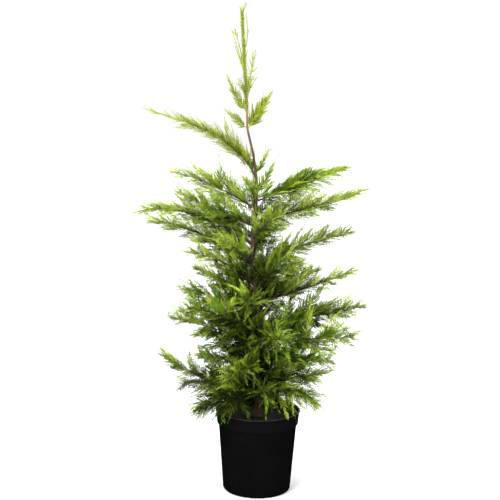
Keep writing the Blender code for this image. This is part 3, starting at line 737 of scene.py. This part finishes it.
def addBlade(corners):
    # one flat face through the corners, which go round anticlockwise
    bpy.ops.mesh.primitive_circle_add(vertices=len(corners), radius=1, fill_type="NGON")
    blade = bpy.context.object
    for point, corner in zip(blade.data.vertices, corners):
        point.co = corner
    return blade


def ribPoint(place, hand):
    return Vector((place, hand * branchlet["forwardCurve"] * place**2, -branchlet["droop"] * place**2))


def branchletTemplate(pairs, hand):
    # length 1 along +X in the XY plane, curving to the left or right as hand is 1 or -1
    deselectAll()
    ribHalfWidth, shootHalfWidth, (near, far) = branchlet["sizes"][pairs]
    wide, middle, tip = Vector((0, ribHalfWidth, 0)), ribPoint(0.5, hand), ribPoint(1.0, hand)
    root = Vector((0, 0, 0))
    blades = [addBlade([root - wide, middle - wide * 0.8, middle + wide * 0.8, root + wide]),
              addBlade([middle - wide * 0.8, tip, middle + wide * 0.8])]
    lift = math.radians(branchlet["liftDegrees"])
    for number in range(pairs):
        for side in (-1, 1):
            place = (number + (0.5 if side > 0 else 0.0)) / pairs
            x = branchlet["firstTooth"] + (branchlet["lastTooth"] - branchlet["firstTooth"]) * place
            start = ribPoint(x, hand)
            heading = math.atan(2 * hand * branchlet["forwardCurve"] * x)
            turn = heading + side * math.radians(branchlet["sweepDegrees"])
            swell = math.sin(math.pi * (0.25 + 0.6 * place))
            reach = (near + (far - near) * place) * (0.55 + 0.45 * swell)
            ahead = Vector((math.cos(turn) * math.cos(lift), math.sin(turn) * math.cos(lift), math.sin(lift)))
            across = Vector((-math.sin(turn), math.cos(turn), 0)) * shootHalfWidth
            blades.append(addBlade([start - across, start + ahead * reach, start + across]))
    deselectAll()
    for blade in blades:
        blade.select_set(True)
    bpy.context.view_layer.objects.active = blades[0]
    bpy.ops.object.join()
    points, triangles = meshArrays(blades[0].data)
    bpy.data.objects.remove(blades[0])
    return points, triangles


# two for each size, one curving to each hand
templates = [branchletTemplate(pairs, hand) for pairs in branchlet["sizes"] for hand in (-1, 1)]
templateLengths = (0.011, 0.020, 0.034)  # a branchlet longer than each of these takes the next template


# the foliage: fronds leave each limb in turns, branchlets leave each frond by turns left and right
foliage = {
    "frondsPerMetre": 200, "lowGain": 0.32,  # the low limbs are fuller by this part
    "firstShare": 0.03, "lastShare": 0.97,
    "turnDegrees": 137.5, "turnJitter": 38, "sideBend": 0.12, "upperSideGain": 0.14,
    "spreadDegrees": (42, 23), "spreadJitter": 9, "sizeJitter": 0.24, "twistDegrees": (6, 46),
    "mainScale": 1.12, "whipSpread": (20, 6), "whipSlim": 0.24, "whipKept": 0.28,
    "branchletStep": 0.0042, "branchletReach": 0.31, "branchletDegrees": (44, 26),
    "forwardBend": 0.12, "upwardBend": 0.02,
    # short shoots that clothe the bough itself
    "coverPerMetre": 220, "coverLength": (0.022, 0.042), "coverShares": (0.06, 0.93), "coverRoll": 1.3,
    "coverDegrees": (24, 48), "coverTwist": 1.2, "coverSlim": 1.25, "coverLight": (0.16, 0.34),
    "bareTwigFronds": (120, 1.0), "flatSprayFronds": (60, 0.8),  # fronds a metre, and their scale
    # the end of a limb is itself a flat frond, slimmer where it is a long whip
    "tipShare": 0.24, "tipSlim": 0.55, "longWhip": 0.12, "whipTipSlim": 0.16, "tipLight": 0.62,
    "twigRadius": 0.0010, "twigLength": 0.1, "twigShares": (0.0, 0.35, 0.7, 0.96), "twigTaper": 0.62,
    "greenTwigLight": 0.50, "tipMargin": 0.010, "topMargin": 0.002,
    "shortBelow": 0.02, "shortWidth": 1.25,  # short branchlets are wider for their length
    "flatAbove": 0.74, "flatness": 0.35, "frontStray": 0.95, "lowStray": 0.36,
    "frontRise": 0.60,  # in front the fronds stand up as fans instead of pointing all round
    "lowSpreadGain": 0.35, "lowSpreadJitter": 12, "lowSizeJitter": 0.16,
    # light picks a spray's shade and carries painted light and shade: paler outside, on top and at the tips,
    # darker inside and below, with random differences; 0 for the darkest shade and 1 for the palest
    "sideLight": (0.32, 0.28), "frontLight": (0.50, 0.06), "upperLight": 0.10, "lightNoise": 0.21,
    "lightHeights": (0.28, 0.42, 0.75, 1.15), "heightLight": (-0.10, 0.0, 0.12, 0.34),
    "footToTip": 0.46, "evenBetween": (1.00, 1.12), "youngAbove": 1.10, "youngLight": (0.35, 0.6),
    "lowFrom": 0.80, "lowOver": 0.25,  # limbs are bushier below the first, over the height of the second
}
# what stays open round the pot, in metres
potView = {
    "overhang": 0.030, "hangFrom": 0.10, "hangOver": 0.05,  # only on the left do sprays hang below the rim
    "compostGap": 0.030, "frontFrom": -0.02, "leftEnd": -0.06, "rightEnd": 0.11,
    "clusterMiddle": 0.018, "clusterHalf": 0.030,  # a cluster here hangs lower and hides the trunk's foot
    "gap": 0.002, "rimInside": 0.012,
}
# sRGB shades of the scale leaves from the shaded inside to the new tips
leafShades = ("#1A2606", "#2C400A", "#425A10", "#597516", "#728F20", "#8DA62E", "#A8BC48")
youngShades = ("#52620F", "#707F18", "#8D9A26", "#A8B23C")  # the year's growth at the top is more olive
# boughs that lie in the shade of others, or out of it
limbLight = {"low_left_drooping": -0.25, "low_left_dark": -0.20, "low_left_upturned": 0.05}
regions = {
    "crown_top": ("upper_left", "knee_spray", "inner_upright", "top_right_spray", "top_left_spray",
                  "top_left_low_spray", "leader_left_twig", "leader_right_twig", "leader_tip",
                  "right_shoulder", "left_shoulder"),
    "left_arms": ("left_shoulder_front", "left_arm", "left_arm_low", "left_waist"),
    "left_skirt": ("left_hip", "left_hip_front", "left_fan_front", "left_fan", "left_low_back",
                   "low_left_upturned", "low_left_dark", "low_left_drooping"),
    "right_arms": ("right_arm", "right_stub", "right_arm_low", "right_fan_front", "right_whip"),
    "right_skirt": ("right_hip_back", "right_hip", "right_skirt_front", "right_skirt_back", "low_right",
                    "low_right_front"),
    "front": ("front_high", "front_shoulder", "front_chest", "front_waist", "front_hip", "front_skirt",
              "front_foot"),
    "back": ("back_high", "back_shoulder", "back_chest", "back_waist", "back_skirt", "back_foot"),
}
# the limbs that are one flat spray: fullness and reach
flatSprays = {"knee_spray": (1.25, 0.90), "inner_upright": (1.15, 0.88), "top_right_spray": (1.30, 1.0),
              "top_left_spray": (0.95, 1.0), "top_left_low_spray": (1.20, 0.96)}
# such a spray is laid double and turned to the front, with a smaller one across it
sprayLayers = {"from": (0.04, 0.07, 0.10), "to": (1.0, 0.95, 0.86), "slim": (1.0, 0.85, 0.7),
               "light": (0.70, 0.62, 0.56), "facing": ((0.0, -1.0, 0.30), (0.3, -1.0, 0.05), (0.8, 0.5, 0.4))}
# sprays that stand on a bough or hang from it: share of the bough, length, and degrees of lean to the right
uprights = {"left_shoulder": ((0.14, 0.070, -16), (0.21, 0.085, -6), (0.30, 0.085, 2), (0.39, 0.105, -6),
                              (0.50, 0.055, -14), (0.42, 0.100, -96), (0.30, 0.090, -106)),
            "upper_left": ((0.24, 0.060, -6), (0.33, 0.088, -12), (0.62, 0.070, -96)),
            "right_arm": ((0.42, 0.070, 112), (0.54, 0.062, 104)),
            "right_shoulder": ((0.30, 0.080, 108), (0.45, 0.075, 100)),
            "right_skirt_front": ((0.66, 0.085, 40), (0.78, 0.080, 52), (0.88, 0.060, 64)),
            "left_hip_front": ((0.56, 0.080, -112), (0.72, 0.065, -104), (0.50, 0.070, -28)),
            "low_right": ((0.70, 0.070, 120),), "low_left_dark": ((0.80, 0.075, -118),),
            "low_left_drooping": ((0.34, 0.080, -104), (0.46, 0.090, -112), (0.62, 0.080, -128),
                                  (0.45, 0.062, -150), (0.56, 0.070, -140))}
uprightRule = {"forward": -0.10, "facing": (0.35, -1.0, 0.0), "slim": 1.1, "light": 0.74, "shadeGain": 2}
# the leader's small limbs, which have no cover shoots
bareTwigs = ("leader_left_twig", "leader_right_twig", "leader_tip")
# how far a limb's fronds droop, as a part of their length
droops = {"low_left_drooping": 0.50, "low_left_dark": 0.30, "front_foot": 0.05, "low_right_front": 0.50,
          "low_right": 0.15, "front_skirt": 0.20, "right_skirt_back": 0.10, "back_foot": 0.30,
          "right_shoulder": 0.34, "right_arm": 0.10, "front_high": 0.10, "front_shoulder": 0.12,
          "front_chest": 0.15, "front_waist": 0.20, "front_hip": 0.22}


def frondSize(place):
    # the solids' rule: a frond's length as a part of the longest
    return np.minimum(1.0, 0.72 + 1.2 * place) * (1 - 0.66 * place**1.15)


def leaving(axis, roll, spread, twist):
    # direction and plane of fronds that leave an axis, rolled round it from its upper side
    over = squareTo(up, axis)
    side = np.cross(axis, over)
    away = over * np.cos(roll)[:, None] + side * np.sin(roll)[:, None]
    ahead = axis * np.cos(spread)[:, None] + away * np.sin(spread)[:, None]
    return ahead, rotated(np.cross(axis, away), ahead, twist)


def frondSet(root, ahead, flat, bend, size, slim, light):
    count = len(root)
    size, slim, light = (np.broadcast_to(value, count).astype(float) for value in (size, slim, light))
    return dict(root=root, ahead=ahead, flat=flat, bend=bend, size=size, slim=slim, light=light)


def heightLight(height):
    # foliage low on the plant is darker: partly its older, darker leaves, partly painted shade, as the light
    # comes from above
    return np.interp(height, foliage["lightHeights"], foliage["heightLight"])


def lowShare(limb):
    # 0 for the limbs of the upper crown, 1 for the bushy ones low down
    return float(np.clip((foliage["lowFrom"] - limb["height"]) / foliage["lowOver"], 0, 1))


def mainFronds(limb, perMetre, scale):
    count = max(4, int(limbLength(limb) * perMetre))
    place = (np.arange(count) + rng.uniform(0.2, 0.8, count)) / count
    share = foliage["firstShare"] + (foliage["lastShare"] - foliage["firstShare"]) * place
    root, axis = limbPoints(limb, share), limbDirections(limb, share)
    jitter = rng.uniform(-1, 1, (4, count))
    roll = np.radians(np.arange(count) * foliage["turnDegrees"] + foliage["turnJitter"] * jitter[0])
    inWhip = share > 1 - limb["whip"]
    isFront = limb["name"].startswith("front_")
    low = lowShare(limb)
    near, far = foliage["spreadDegrees"]
    spread = np.radians((near + (far - near) * place) * (1 + foliage["lowSpreadGain"] * low)
                        + (foliage["spreadJitter"] + foliage["lowSpreadJitter"] * low) * jitter[1])
    whipSpread, whipJitter = foliage["whipSpread"]
    spread = np.where(inWhip, np.radians(whipSpread + whipJitter * jitter[1]), spread)
    least, most = foliage["twistDegrees"]
    twist = np.radians(least + (most - least) * rng.uniform(0, 1, count)) * rng.choice((-1, 1), count)
    if limb["height"] > foliage["flatAbove"]:
        # more fronds above and below the bough than beside it
        roll = roll - foliage["flatness"] * np.sin(2 * roll)
    ahead, flat = leaving(axis, roll, spread, twist)
    stray = foliage["frontStray"] if isFront else foliage["lowStray"] * low
    rise = foliage["frontRise"] if isFront else 0.0
    ahead = unit(ahead + unit(rng.normal(size=(count, 3))) * stray + up * rise)
    flat = squareTo(flat, ahead)
    size = scale * limb["frond"] * frondSize(place) * (1 + foliage["upperSideGain"] * np.cos(roll))
    size = size * (1 + (foliage["sizeJitter"] + foliage["lowSizeJitter"] * low) * jitter[2])
    slim = np.where(inWhip, foliage["whipSlim"], 1.0)
    lift = foliage["upwardBend"] - droops.get(limb["name"], 0)
    sideways = np.cross(axis, ahead) * (foliage["sideBend"] * rng.normal(size=count))[:, None]
    bend = (axis * foliage["forwardBend"] + up * lift + sideways) * size[:, None]
    # painted light and shade: fronds further out along the bough and on its upper side are paler, those
    # further in and below darker, with random differences
    base, gain = foliage["frontLight" if isFront else "sideLight"]
    contrast = np.interp(root[:, 2], foliage["evenBetween"], (1.0, 0.4))
    uneven = foliage["upperLight"] * np.cos(roll) + foliage["lightNoise"] * rng.normal(size=count)
    light = (base + gain * share + heightLight(root[:, 2]) + limbLight.get(limb["name"], 0)
             + contrast * uneven)
    keep = ~inWhip | (rng.uniform(0, 1, count) < foliage["whipKept"])
    fronds = frondSet(root, ahead, flat, bend, size, slim, light)
    return {key: value[keep] for key, value in fronds.items()}


def coverShoots(limb):
    # short shoots close to the bough, most of them on its upper side
    count = int(limbLength(limb) * foliage["coverPerMetre"] * limb["fullness"])
    first, last = foliage["coverShares"]
    share = rng.uniform(first, last - limb["whip"], count)
    root, axis = limbPoints(limb, share), limbDirections(limb, share)
    roll = rng.normal(0, foliage["coverRoll"], count)
    spread = np.radians(rng.uniform(*foliage["coverDegrees"], count))
    twist = foliage["coverTwist"]
    ahead, flat = leaving(axis, roll, spread, rng.uniform(-twist, twist, count))
    size = rng.uniform(*foliage["coverLength"], count) * (1.15 - 0.45 * share)
    base, gain = foliage["coverLight"]
    light = base + gain * share + 0.10 * rng.normal(size=count) + heightLight(root[:, 2])
    light = light + limbLight.get(limb["name"], 0)
    return frondSet(root, ahead, flat, axis * size[:, None] * 0.15, size, foliage["coverSlim"], light)


def tipFrond(limb):
    # the limb's own end, drawn out as one flat frond, bare where the limb ends in a whip
    start = 1 - foliage["tipShare"] - limb["whip"] * 0.3
    root, tip = limbPoints(limb, [start]), limbPoints(limb, [1.0])
    size = np.linalg.norm(tip - root, axis=1)
    ahead = unit(tip - root)
    over = squareTo(up, ahead)
    flat = rotated(over, ahead, np.radians(rng.uniform(35, 65, 1)) * rng.choice((-1, 1)))
    slim = foliage["whipTipSlim"] if limb["whip"] > foliage["longWhip"] else foliage["tipSlim"]
    light = foliage["tipLight"] + heightLight(root[:, 2])
    return frondSet(root, ahead, flat, np.zeros((1, 3)), size, slim, light)


def flatSpray(limb, fullness, reach):
    root, tip = limbPoints(limb, sprayLayers["from"]), limbPoints(limb, np.array(sprayLayers["to"]) * reach)
    middle = limbPoints(limb, [0.5, 0.5, 0.5])
    size = np.linalg.norm(tip - root, axis=1)
    bend = 2 * ((root + tip) / 2 - middle)
    ahead = (tip - root) - bend
    facing = np.array(sprayLayers["facing"])
    flat = squareTo(facing, unit(ahead))
    slim = np.array(sprayLayers["slim"]) * fullness
    return frondSet(root, ahead / size[:, None], flat, bend, size, slim, sprayLayers["light"])


def uprightSprays(limb, rows):
    share, size, lean = (np.array(column) for column in zip(*rows))
    forward = np.full(len(share), uprightRule["forward"])
    ahead = np.stack([np.sin(np.radians(lean)), forward, np.cos(np.radians(lean))], axis=1)
    flat = np.cross(unit(ahead), np.cross(np.array([uprightRule["facing"]]), unit(ahead)))
    straight = np.zeros((len(share), 3))
    light = uprightRule["light"] + uprightRule["shadeGain"] * limbLight.get(limb["name"], 0)
    root, slim = limbPoints(limb, share), uprightRule["slim"]
    return frondSet(root, unit(ahead), unit(flat), straight, size, slim, light)


def growLimb(limb):
    name = limb["name"]
    if name in bareTwigs:
        return mainFronds(limb, *foliage["bareTwigFronds"])
    if name in flatSprays:
        return joinSets([flatSpray(limb, *flatSprays[name]), mainFronds(limb, *foliage["flatSprayFronds"])])
    perMetre = foliage["frondsPerMetre"] * (1 + foliage["lowGain"] * lowShare(limb)) * limb["fullness"]
    grownOn = [mainFronds(limb, perMetre, foliage["mainScale"]), coverShoots(limb), tipFrond(limb)]
    if name in uprights:
        grownOn.append(uprightSprays(limb, uprights[name]))
    return joinSets(grownOn)


def joinSets(sets):
    return {key: np.concatenate([one[key] for one in sets]) for key in sets[0]}


# shoots that grow on the trunk itself: sprays among the limbs, coloured dark as painted shade of the crown's
# inside, and green ones that clothe the leader
trunkShoots = {
    "inner": {"count": 220, "heights": (0.31, 0.93), "length": (0.070, 0.140), "rise": (5, 45),
              "frontOpenAbove": 0.60},
    "foot": {"count": 48, "heights": (0.268, 0.37), "length": (0.060, 0.130), "rise": (-8, 30),
             "frontOpenAbove": 0.60},
    "leader": {"count": 300, "heights": (1.255, 1.572), "tuftHeight": 1.327, "tuftSpread": 0.020,
               "tuftLength": 0.044, "length": 0.019, "degrees": (16, 26), "degreesJitter": 3, "twist": 0.6,
               "slim": 0.9, "light": 0.72},
    "crowdLow": 1.35, "front": -0.35, "bend": (-0.25, 0.05), "light": (0.12, 0.12), "heightGain": 1.3,
}


def trunkPoints(heights):
    return np.stack([trunkOffset(heights), np.zeros(len(heights)), heights], axis=1)


def innerSprays(group):
    made = trunkShoots[group]
    count = made["count"]
    low, high = made["heights"]
    place = ((np.arange(count) + rng.uniform(0, 1, count)) / count) ** trunkShoots["crowdLow"]
    height = low + (high - low) * place
    heading = np.radians(np.arange(count) * foliage["turnDegrees"])
    # higher up, those that would stand in front are turned to the back
    toFront = (np.sin(heading) < trunkShoots["front"]) & (height > made["frontOpenAbove"])
    heading = np.where(toFront, -heading, heading)
    rise = np.radians(rng.uniform(*made["rise"], count))
    out = np.stack([np.cos(heading), np.sin(heading), np.zeros(count)], axis=1)
    ahead = out * np.cos(rise)[:, None] + up * np.sin(rise)[:, None]
    flat = rotated(unit(np.cross(ahead, np.cross(up, ahead))), ahead, rng.uniform(-1.0, 1.0, count))
    size = rng.uniform(*made["length"], count)
    bend = up * (size * rng.uniform(*trunkShoots["bend"], count))[:, None]
    # painted shade: these inner sprays take very dark shades
    base, uneven = trunkShoots["light"]
    light = base + uneven * rng.normal(size=count) + trunkShoots["heightGain"] * heightLight(height)
    return frondSet(trunkPoints(height), ahead, flat, bend, size, 1.0, light)


def leaderShoots():
    made = trunkShoots["leader"]
    count = made["count"]
    low, high = made["heights"]
    height = low + (high - low) * (np.arange(count) + 0.5) / count
    axis = unit(trunkPoints(height + 0.01) - trunkPoints(height))
    roll = np.radians(np.arange(count) * foliage["turnDegrees"])
    tuft = np.exp(-((height - made["tuftHeight"]) / made["tuftSpread"]) ** 2)
    (least, gain), jitter, twist = made["degrees"], made["degreesJitter"], made["twist"]
    spread = np.radians(least + gain * tuft + rng.uniform(-jitter, jitter, count))
    ahead, flat = leaving(axis, roll, spread, rng.uniform(-twist, twist, count))
    size = made["length"] + (made["tuftLength"] - made["length"]) * tuft
    size = size * rng.uniform(0.8, 1.2, count)
    straight = np.zeros((count, 3))
    return frondSet(trunkPoints(height), ahead, flat, straight, size, made["slim"], made["light"])


# the leader's own twigs, green and stout for their length: each stem leaves the leader as a limb does,
# and its forks leave it at a share of its length, leaning to the left or right
stemFields = limbFields[1:7] + ("forks",)
leaderTwigs = {
    "radius": 0.0022, "tipRadius": 0.0013, "scaleLength": 0.0034, "ripple": 0.20, "sides": 6, "rings": 40,
    "forkLift": 0.15,
    "stems": (
        (1.372, 182, 0.038, 0.154, 84, 72, ((0.80, 16, 0.018), (0.86, -34, 0.014), (0.92, 20, 0.010))),
        (1.355, 176, 0.036, 0.115, 84, 68, ((0.55, 22, 0.020),)),
        (1.343, -4, 0.021, 0.116, 58, 88,
         ((0.20, 62, 0.028), (0.42, 48, 0.022), (0.55, -26, 0.026), (0.75, 30, 0.016))),
        (1.455, 8, 0.006, 0.116, 66, 94, ((0.45, 14, 0.016),)),
        (1.430, -10, 0.009, 0.030, 55, 85, ()),
        (1.574, 0, 0.015, 0.034, 66, 66, ((0.02, -52, 0.019),)),
    ),
}


# the limbs that end in bare forked twigs: the share where the twig stands clear, and its forks
bareEnds = {
    "upper_left": (0.70, ((0.70, -13, 0.066), (0.80, 16, 0.034), (0.87, -16, 0.028), (0.93, 12, 0.018))),
    "left_arm": (0.80, ((0.82, 22, 0.040), (0.90, -14, 0.024))),
    "left_arm_low": (0.88, ((0.90, 20, 0.026),)),
    "right_shoulder": (0.84, ((0.86, -22, 0.034), (0.92, 24, 0.024))),
    "right_arm": (0.82, ((0.84, 20, 0.036), (0.89, -24, 0.028), (0.94, 18, 0.018))),
    "right_arm_low": (0.82, ((0.84, -22, 0.034), (0.90, 22, 0.026))),
    "right_whip": (0.82, ((0.84, 24, 0.034), (0.90, -20, 0.024))),
}


def twigCentres(stem, start, forks):
    # a stem from its share on, and the forks that leave it, leaning clockwise as seen from the front
    shares = np.linspace(0, 1, leaderTwigs["rings"])
    rows = [limbPoints(stem, start + (1 - start) * shares)]
    for share, leanDegrees, length in forks:
        root, ahead = limbPoints(stem, [share])[0], limbDirections(stem, np.array([share]))
        turned = rotated(ahead, np.array([[0.0, 1.0, 0.0]]), np.radians([leanDegrees]))[0]
        lift = leaderTwigs["forkLift"] * length * shares**2
        rows.append(root + turned * (length * shares)[:, None] + up * lift[:, None])
    return rows


def leaderTwigCentres():
    rows = []
    for row in leaderTwigs["stems"]:
        stem = dict(zip(stemFields, row))
        rows += twigCentres(stem, 0.0, stem["forks"])
    for limb in limbs:
        if limb["name"] in bareEnds:
            rows += twigCentres(limb, *bareEnds[limb["name"]])
    return np.stack(rows)


def addLeaderTwigs(material):
    centres = leaderTwigCentres()
    shares = np.linspace(0, 1, leaderTwigs["rings"])
    lengths = np.linalg.norm(centres[:, -1] - centres[:, 0], axis=1)
    radii = leaderTwigs["radius"] + (leaderTwigs["tipRadius"] - leaderTwigs["radius"]) * shares
    # each scale swells, then steps in
    scales = (lengths[:, None] * shares / leaderTwigs["scaleLength"]) % 1.0
    radii = radii * (1 - leaderTwigs["ripple"] * scales) * np.sqrt(np.clip((1.02 - shares) * 12, 0, 1))
    points, triangles, _ = tubeArrays(centres, radii, leaderTwigs["sides"])
    piece = meshFromArrays("leader_twigs", points, triangles, [material], smooth=True)


branchletRule = {
    "start": 0.05, "run": 0.93,  # shares of the frond
    "angleJitter": 7, "endJitter": 4, "tilt": (10, 12), "turnDegrees": 20, "lengthJitter": 0.28,
    "least": 0.006, "leastEnd": 0.009, "endShare": 0.15,
    "evenAbove": 0.5, "middle": 0.48, "lightJitter": 0.11,
}


def growBranchlets(fronds):
    # every branchlet of a set of fronds: origin, axes, length and shade
    rule = branchletRule
    counts = np.maximum(4, (fronds["size"] / foliage["branchletStep"] * np.sqrt(fronds["slim"])).astype(int))
    owner = np.repeat(np.arange(len(counts)), counts + 1)
    number = np.concatenate([np.arange(n + 1) for n in counts])
    total = counts[owner]
    s = rule["start"] + rule["run"] * number / total
    isEnd = number == total
    side = np.where(number % 2 == 0, 1.0, -1.0)
    f = {key: value[owner] for key, value in fronds.items()}
    origin = f["root"] + f["ahead"] * (f["size"] * s)[:, None] + f["bend"] * (s**2)[:, None]
    ahead = unit(f["ahead"] * f["size"][:, None] + 2 * f["bend"] * s[:, None])
    across = unit(np.cross(f["flat"], ahead))
    flat = np.cross(ahead, across)
    near, far = foliage["branchletDegrees"]
    jitter = rng.uniform(-1, 1, (4, len(s)))
    angle = np.radians(near + (far - near) * s + rule["angleJitter"] * jitter[0])
    angle = np.where(isEnd, np.radians(rule["endJitter"] * jitter[0]), angle)
    held, uneven = rule["tilt"]
    tilt = np.radians(held + uneven * jitter[1])  # both rows are held a little up, in a shallow V
    sideways = (across * np.cos(tilt)[:, None] + flat * np.sin(tilt)[:, None] * side[:, None]) * side[:, None]
    lengthways = ahead * np.cos(angle)[:, None] + sideways * np.sin(angle)[:, None]
    normal = squareTo(flat, lengthways)
    normal = rotated(normal, lengthways, np.radians(rule["turnDegrees"]) * jitter[2])
    swell = np.minimum(1, 0.5 + 2.2 * s) * (1 - s) ** 0.8 * 1.15 + 0.07
    length = f["size"] * foliage["branchletReach"] * swell * f["slim"]
    length = length * (1 + rule["lengthJitter"] * jitter[3])
    endLength = np.maximum(rule["leastEnd"], f["size"] * rule["endShare"])
    length = np.where(isEnd, endLength, np.maximum(rule["least"], length))
    # darker at a frond's foot and paler at its tip: partly painted shade, partly the paler new growth
    evenness = np.interp(origin[:, 2], foliage["evenBetween"], (1.0, rule["evenAbove"]))
    gradient = foliage["footToTip"] * evenness
    light = f["light"] + gradient * (s - rule["middle"]) + rule["lightJitter"] * rng.normal(size=len(s))
    return origin, lengthways, np.cross(normal, lengthways), normal, length, light, (side < 0).astype(int)


def clearOfPot(origin, tip):
    # which branchlets stay out of the pot's wall and above the compost, and leave it open in front
    x, y = origin[:, 0], origin[:, 1]
    leftward = np.clip((-x - potView["hangFrom"]) / potView["hangOver"], 0, 1)
    lowest = np.minimum(origin[:, 2], tip[:, 2])
    keep = lowest > pot["height"] - potView["overhang"] * leftward
    inFront = (y < potView["frontFrom"]) & (x > potView["leftEnd"]) & (x < potView["rightEnd"])
    inFront &= np.abs(x - potView["clusterMiddle"]) > potView["clusterHalf"]
    keep &= ~inFront | (lowest > compost["top"] + potView["compostGap"])
    gap = potView["gap"]
    for share in (0.0, 0.5, 1.0):
        place = origin + (tip - origin) * share
        radius = np.hypot(place[:, 0], place[:, 1])
        inPot = (place[:, 2] < pot["height"] + gap) & (radius < pot["lipRadius"] + gap)
        insideRim = radius < pot["lipRadius"] - potView["rimInside"]
        keep &= ~inPot | (insideRim & (place[:, 2] > compost["top"] + gap))
    return keep


def insideBox(tip):
    low, high = (np.array(corner) for corner in cadBox)
    margin = foliage["tipMargin"]
    return np.all((tip > low - margin) & (tip < high + (margin, margin, foliage["topMargin"])), axis=1)


def leafMaterials():
    # scale leaves: soft waxy green, plain colours dealt out by spray
    made = []
    for number, colour in enumerate(leafShades + youngShades):
        material, tree, shader = newMaterial(f"scale_leaf_{number}", 0.52, colour)
        shader.inputs["Specular IOR Level"].default_value = 0.05
        # the overlapping scales are about 1.5 mm long
        addBump(tree, shader, addNoise(tree, objectPlace(tree), 650.0, 1.0), 0.35, 0.0004)
        made.append(material)
    return made


def addFoliage(region, fronds, names, materials):
    origin, ahead, across, normal, length, light, hand = growBranchlets(fronds)
    tip = origin + ahead * length[:, None]
    keep = clearOfPot(origin, tip) & insideBox(tip)
    kind = np.searchsorted(templateLengths, length)
    shade = np.clip((light * len(leafShades)).astype(int), 0, len(leafShades) - 1)
    darkest, span = foliage["youngLight"]
    young = np.clip(((light - darkest) / span * len(youngShades)).astype(int), 0, len(youngShades) - 1)
    shade = np.where(origin[:, 2] > foliage["youngAbove"], len(leafShades) + young, shade)
    allPoints, allTriangles, slots, start = [], [], [], 0
    for number, (points, triangles) in enumerate(templates):
        chosen = keep & (kind == number // 2) & (hand == number % 2)
        axes = np.stack([ahead[chosen], across[chosen], normal[chosen]], axis=1)
        width = np.where(length[chosen] < foliage["shortBelow"], foliage["shortWidth"], 1.0)
        scales = np.stack([length[chosen], length[chosen] * width, length[chosen]], axis=1)
        placed, faces = stamp(points, triangles, origin[chosen], axes, scales)
        allPoints.append(placed)
        allTriangles.append(faces + start)
        slots.append(np.repeat(shade[chosen], len(triangles)))
        start += len(placed)
    piece = meshFromArrays(f"foliage_{region}", np.concatenate(allPoints), np.concatenate(allTriangles),
                           materials, np.concatenate(slots))
    if names:
        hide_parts(*[f"foliage_{name}" for name in names])
    print(f"{region}: {len(fronds['size'])} fronds, {int(keep.sum())} branchlets, "
          f"{len(piece.data.polygons)} faces")


def addTwigs(fronds):
    # the axis of every frond, brown near the trunk and green at the tips
    s = np.array(foliage["twigShares"])
    centres = (fronds["root"][:, None] + fronds["ahead"][:, None] * (fronds["size"][:, None] * s)[:, :, None]
               + fronds["bend"][:, None] * (s**2)[None, :, None])
    keep = insideBox(centres[:, -1]) & clearOfPot(centres[:, 0], centres[:, -1])
    centres, size, light = centres[keep], fronds["size"][keep], fronds["light"][keep]
    base = foliage["twigRadius"] * np.sqrt(size / foliage["twigLength"])
    radii = base[:, None] * (1 - foliage["twigTaper"] * s)
    points, triangles, single = tubeArrays(centres, radii, 3)
    slots = np.repeat((light > foliage["greenTwigLight"]).astype(int), len(single))
    materials = [newMaterial("brown_twig", 0.7, "#3B2A1A")[0], newMaterial("green_twig", 0.6, "#6F7F24")[0]]
    piece = meshFromArrays("twigs", points, triangles, materials, slots, smooth=True)
    print(f"twigs: {len(size)}")


materials = leafMaterials()
grown = {region: joinSets([growLimb(limb) for limb in limbs if limb["name"] in names])
         for region, names in regions.items()}
grown["inner"] = joinSets([innerSprays("inner"), innerSprays("foot")])
grown["leader"] = leaderShoots()
for region, fronds in grown.items():
    addFoliage(region, fronds, regions.get(region, ()), materials)
addTwigs(joinSets(list(grown.values())))
addLeaderTwigs(materials[len(leafShades) + 2])
print("foliage grown")


# the stage: plain pale floor and soft studio light
stage = {"floorRadius": 14.0, "floorColour": "#FCFCFC", "worldColour": "#FFFFFF",
         "domeStrength": 0.80, "backdropStrength": 1.03}
lamps = {
    "key": {"place": (-2.0, -2.8, 4.0), "strength": 3.4, "softDegrees": 24},
    "fill": {"place": (3.0, -2.6, 2.2), "strength": 1.0, "softDegrees": 60},
    "top": {"place": (0.3, 0.4, 4.6), "strength": 2.4, "softDegrees": 40},
}


def addStage():
    deselectAll()
    bpy.ops.mesh.primitive_circle_add(vertices=96, radius=stage["floorRadius"], fill_type="NGON",
                                      location=(0, 0, cadBox[0][2]))
    floor = bpy.context.object
    floor.name = "studio_floor"
    bpy.ops.object.transform_apply(location=True)
    floor.data.materials.append(newMaterial("matt_studio_floor", 0.9, stage["floorColour"])[0])
    world = bpy.data.worlds.new("studio")
    bpy.context.scene.world = world
    world.use_nodes = True
    background = world.node_tree.nodes["Background"]
    background.inputs["Color"].default_value = hexColour(stage["worldColour"])
    # the backdrop is seen white, while less light comes from it than from the lamps
    rays = addNode(world.node_tree, "ShaderNodeLightPath")
    strength = addNode(world.node_tree, "ShaderNodeMapRange",
                       inputs={"To Min": stage["domeStrength"], "To Max": stage["backdropStrength"]},
                       links={"Value": (rays, "Is Camera Ray")})
    linkTo(world.node_tree, background, "Strength", (strength, "Result"))
    middle = Vector((0, 0, 0.8))
    for name, lamp in lamps.items():
        bpy.ops.object.light_add(type="SUN", location=lamp["place"])
        made = bpy.context.object
        made.name = f"{name}_lamp"
        made.data.energy = lamp["strength"]
        made.data.angle = math.radians(lamp["softDegrees"])
        made.rotation_euler = (middle - Vector(lamp["place"])).to_track_quat("-Z", "Y").to_euler()
    bpy.context.scene.view_settings.view_transform = "Standard"


addStage()
print("stage lit")
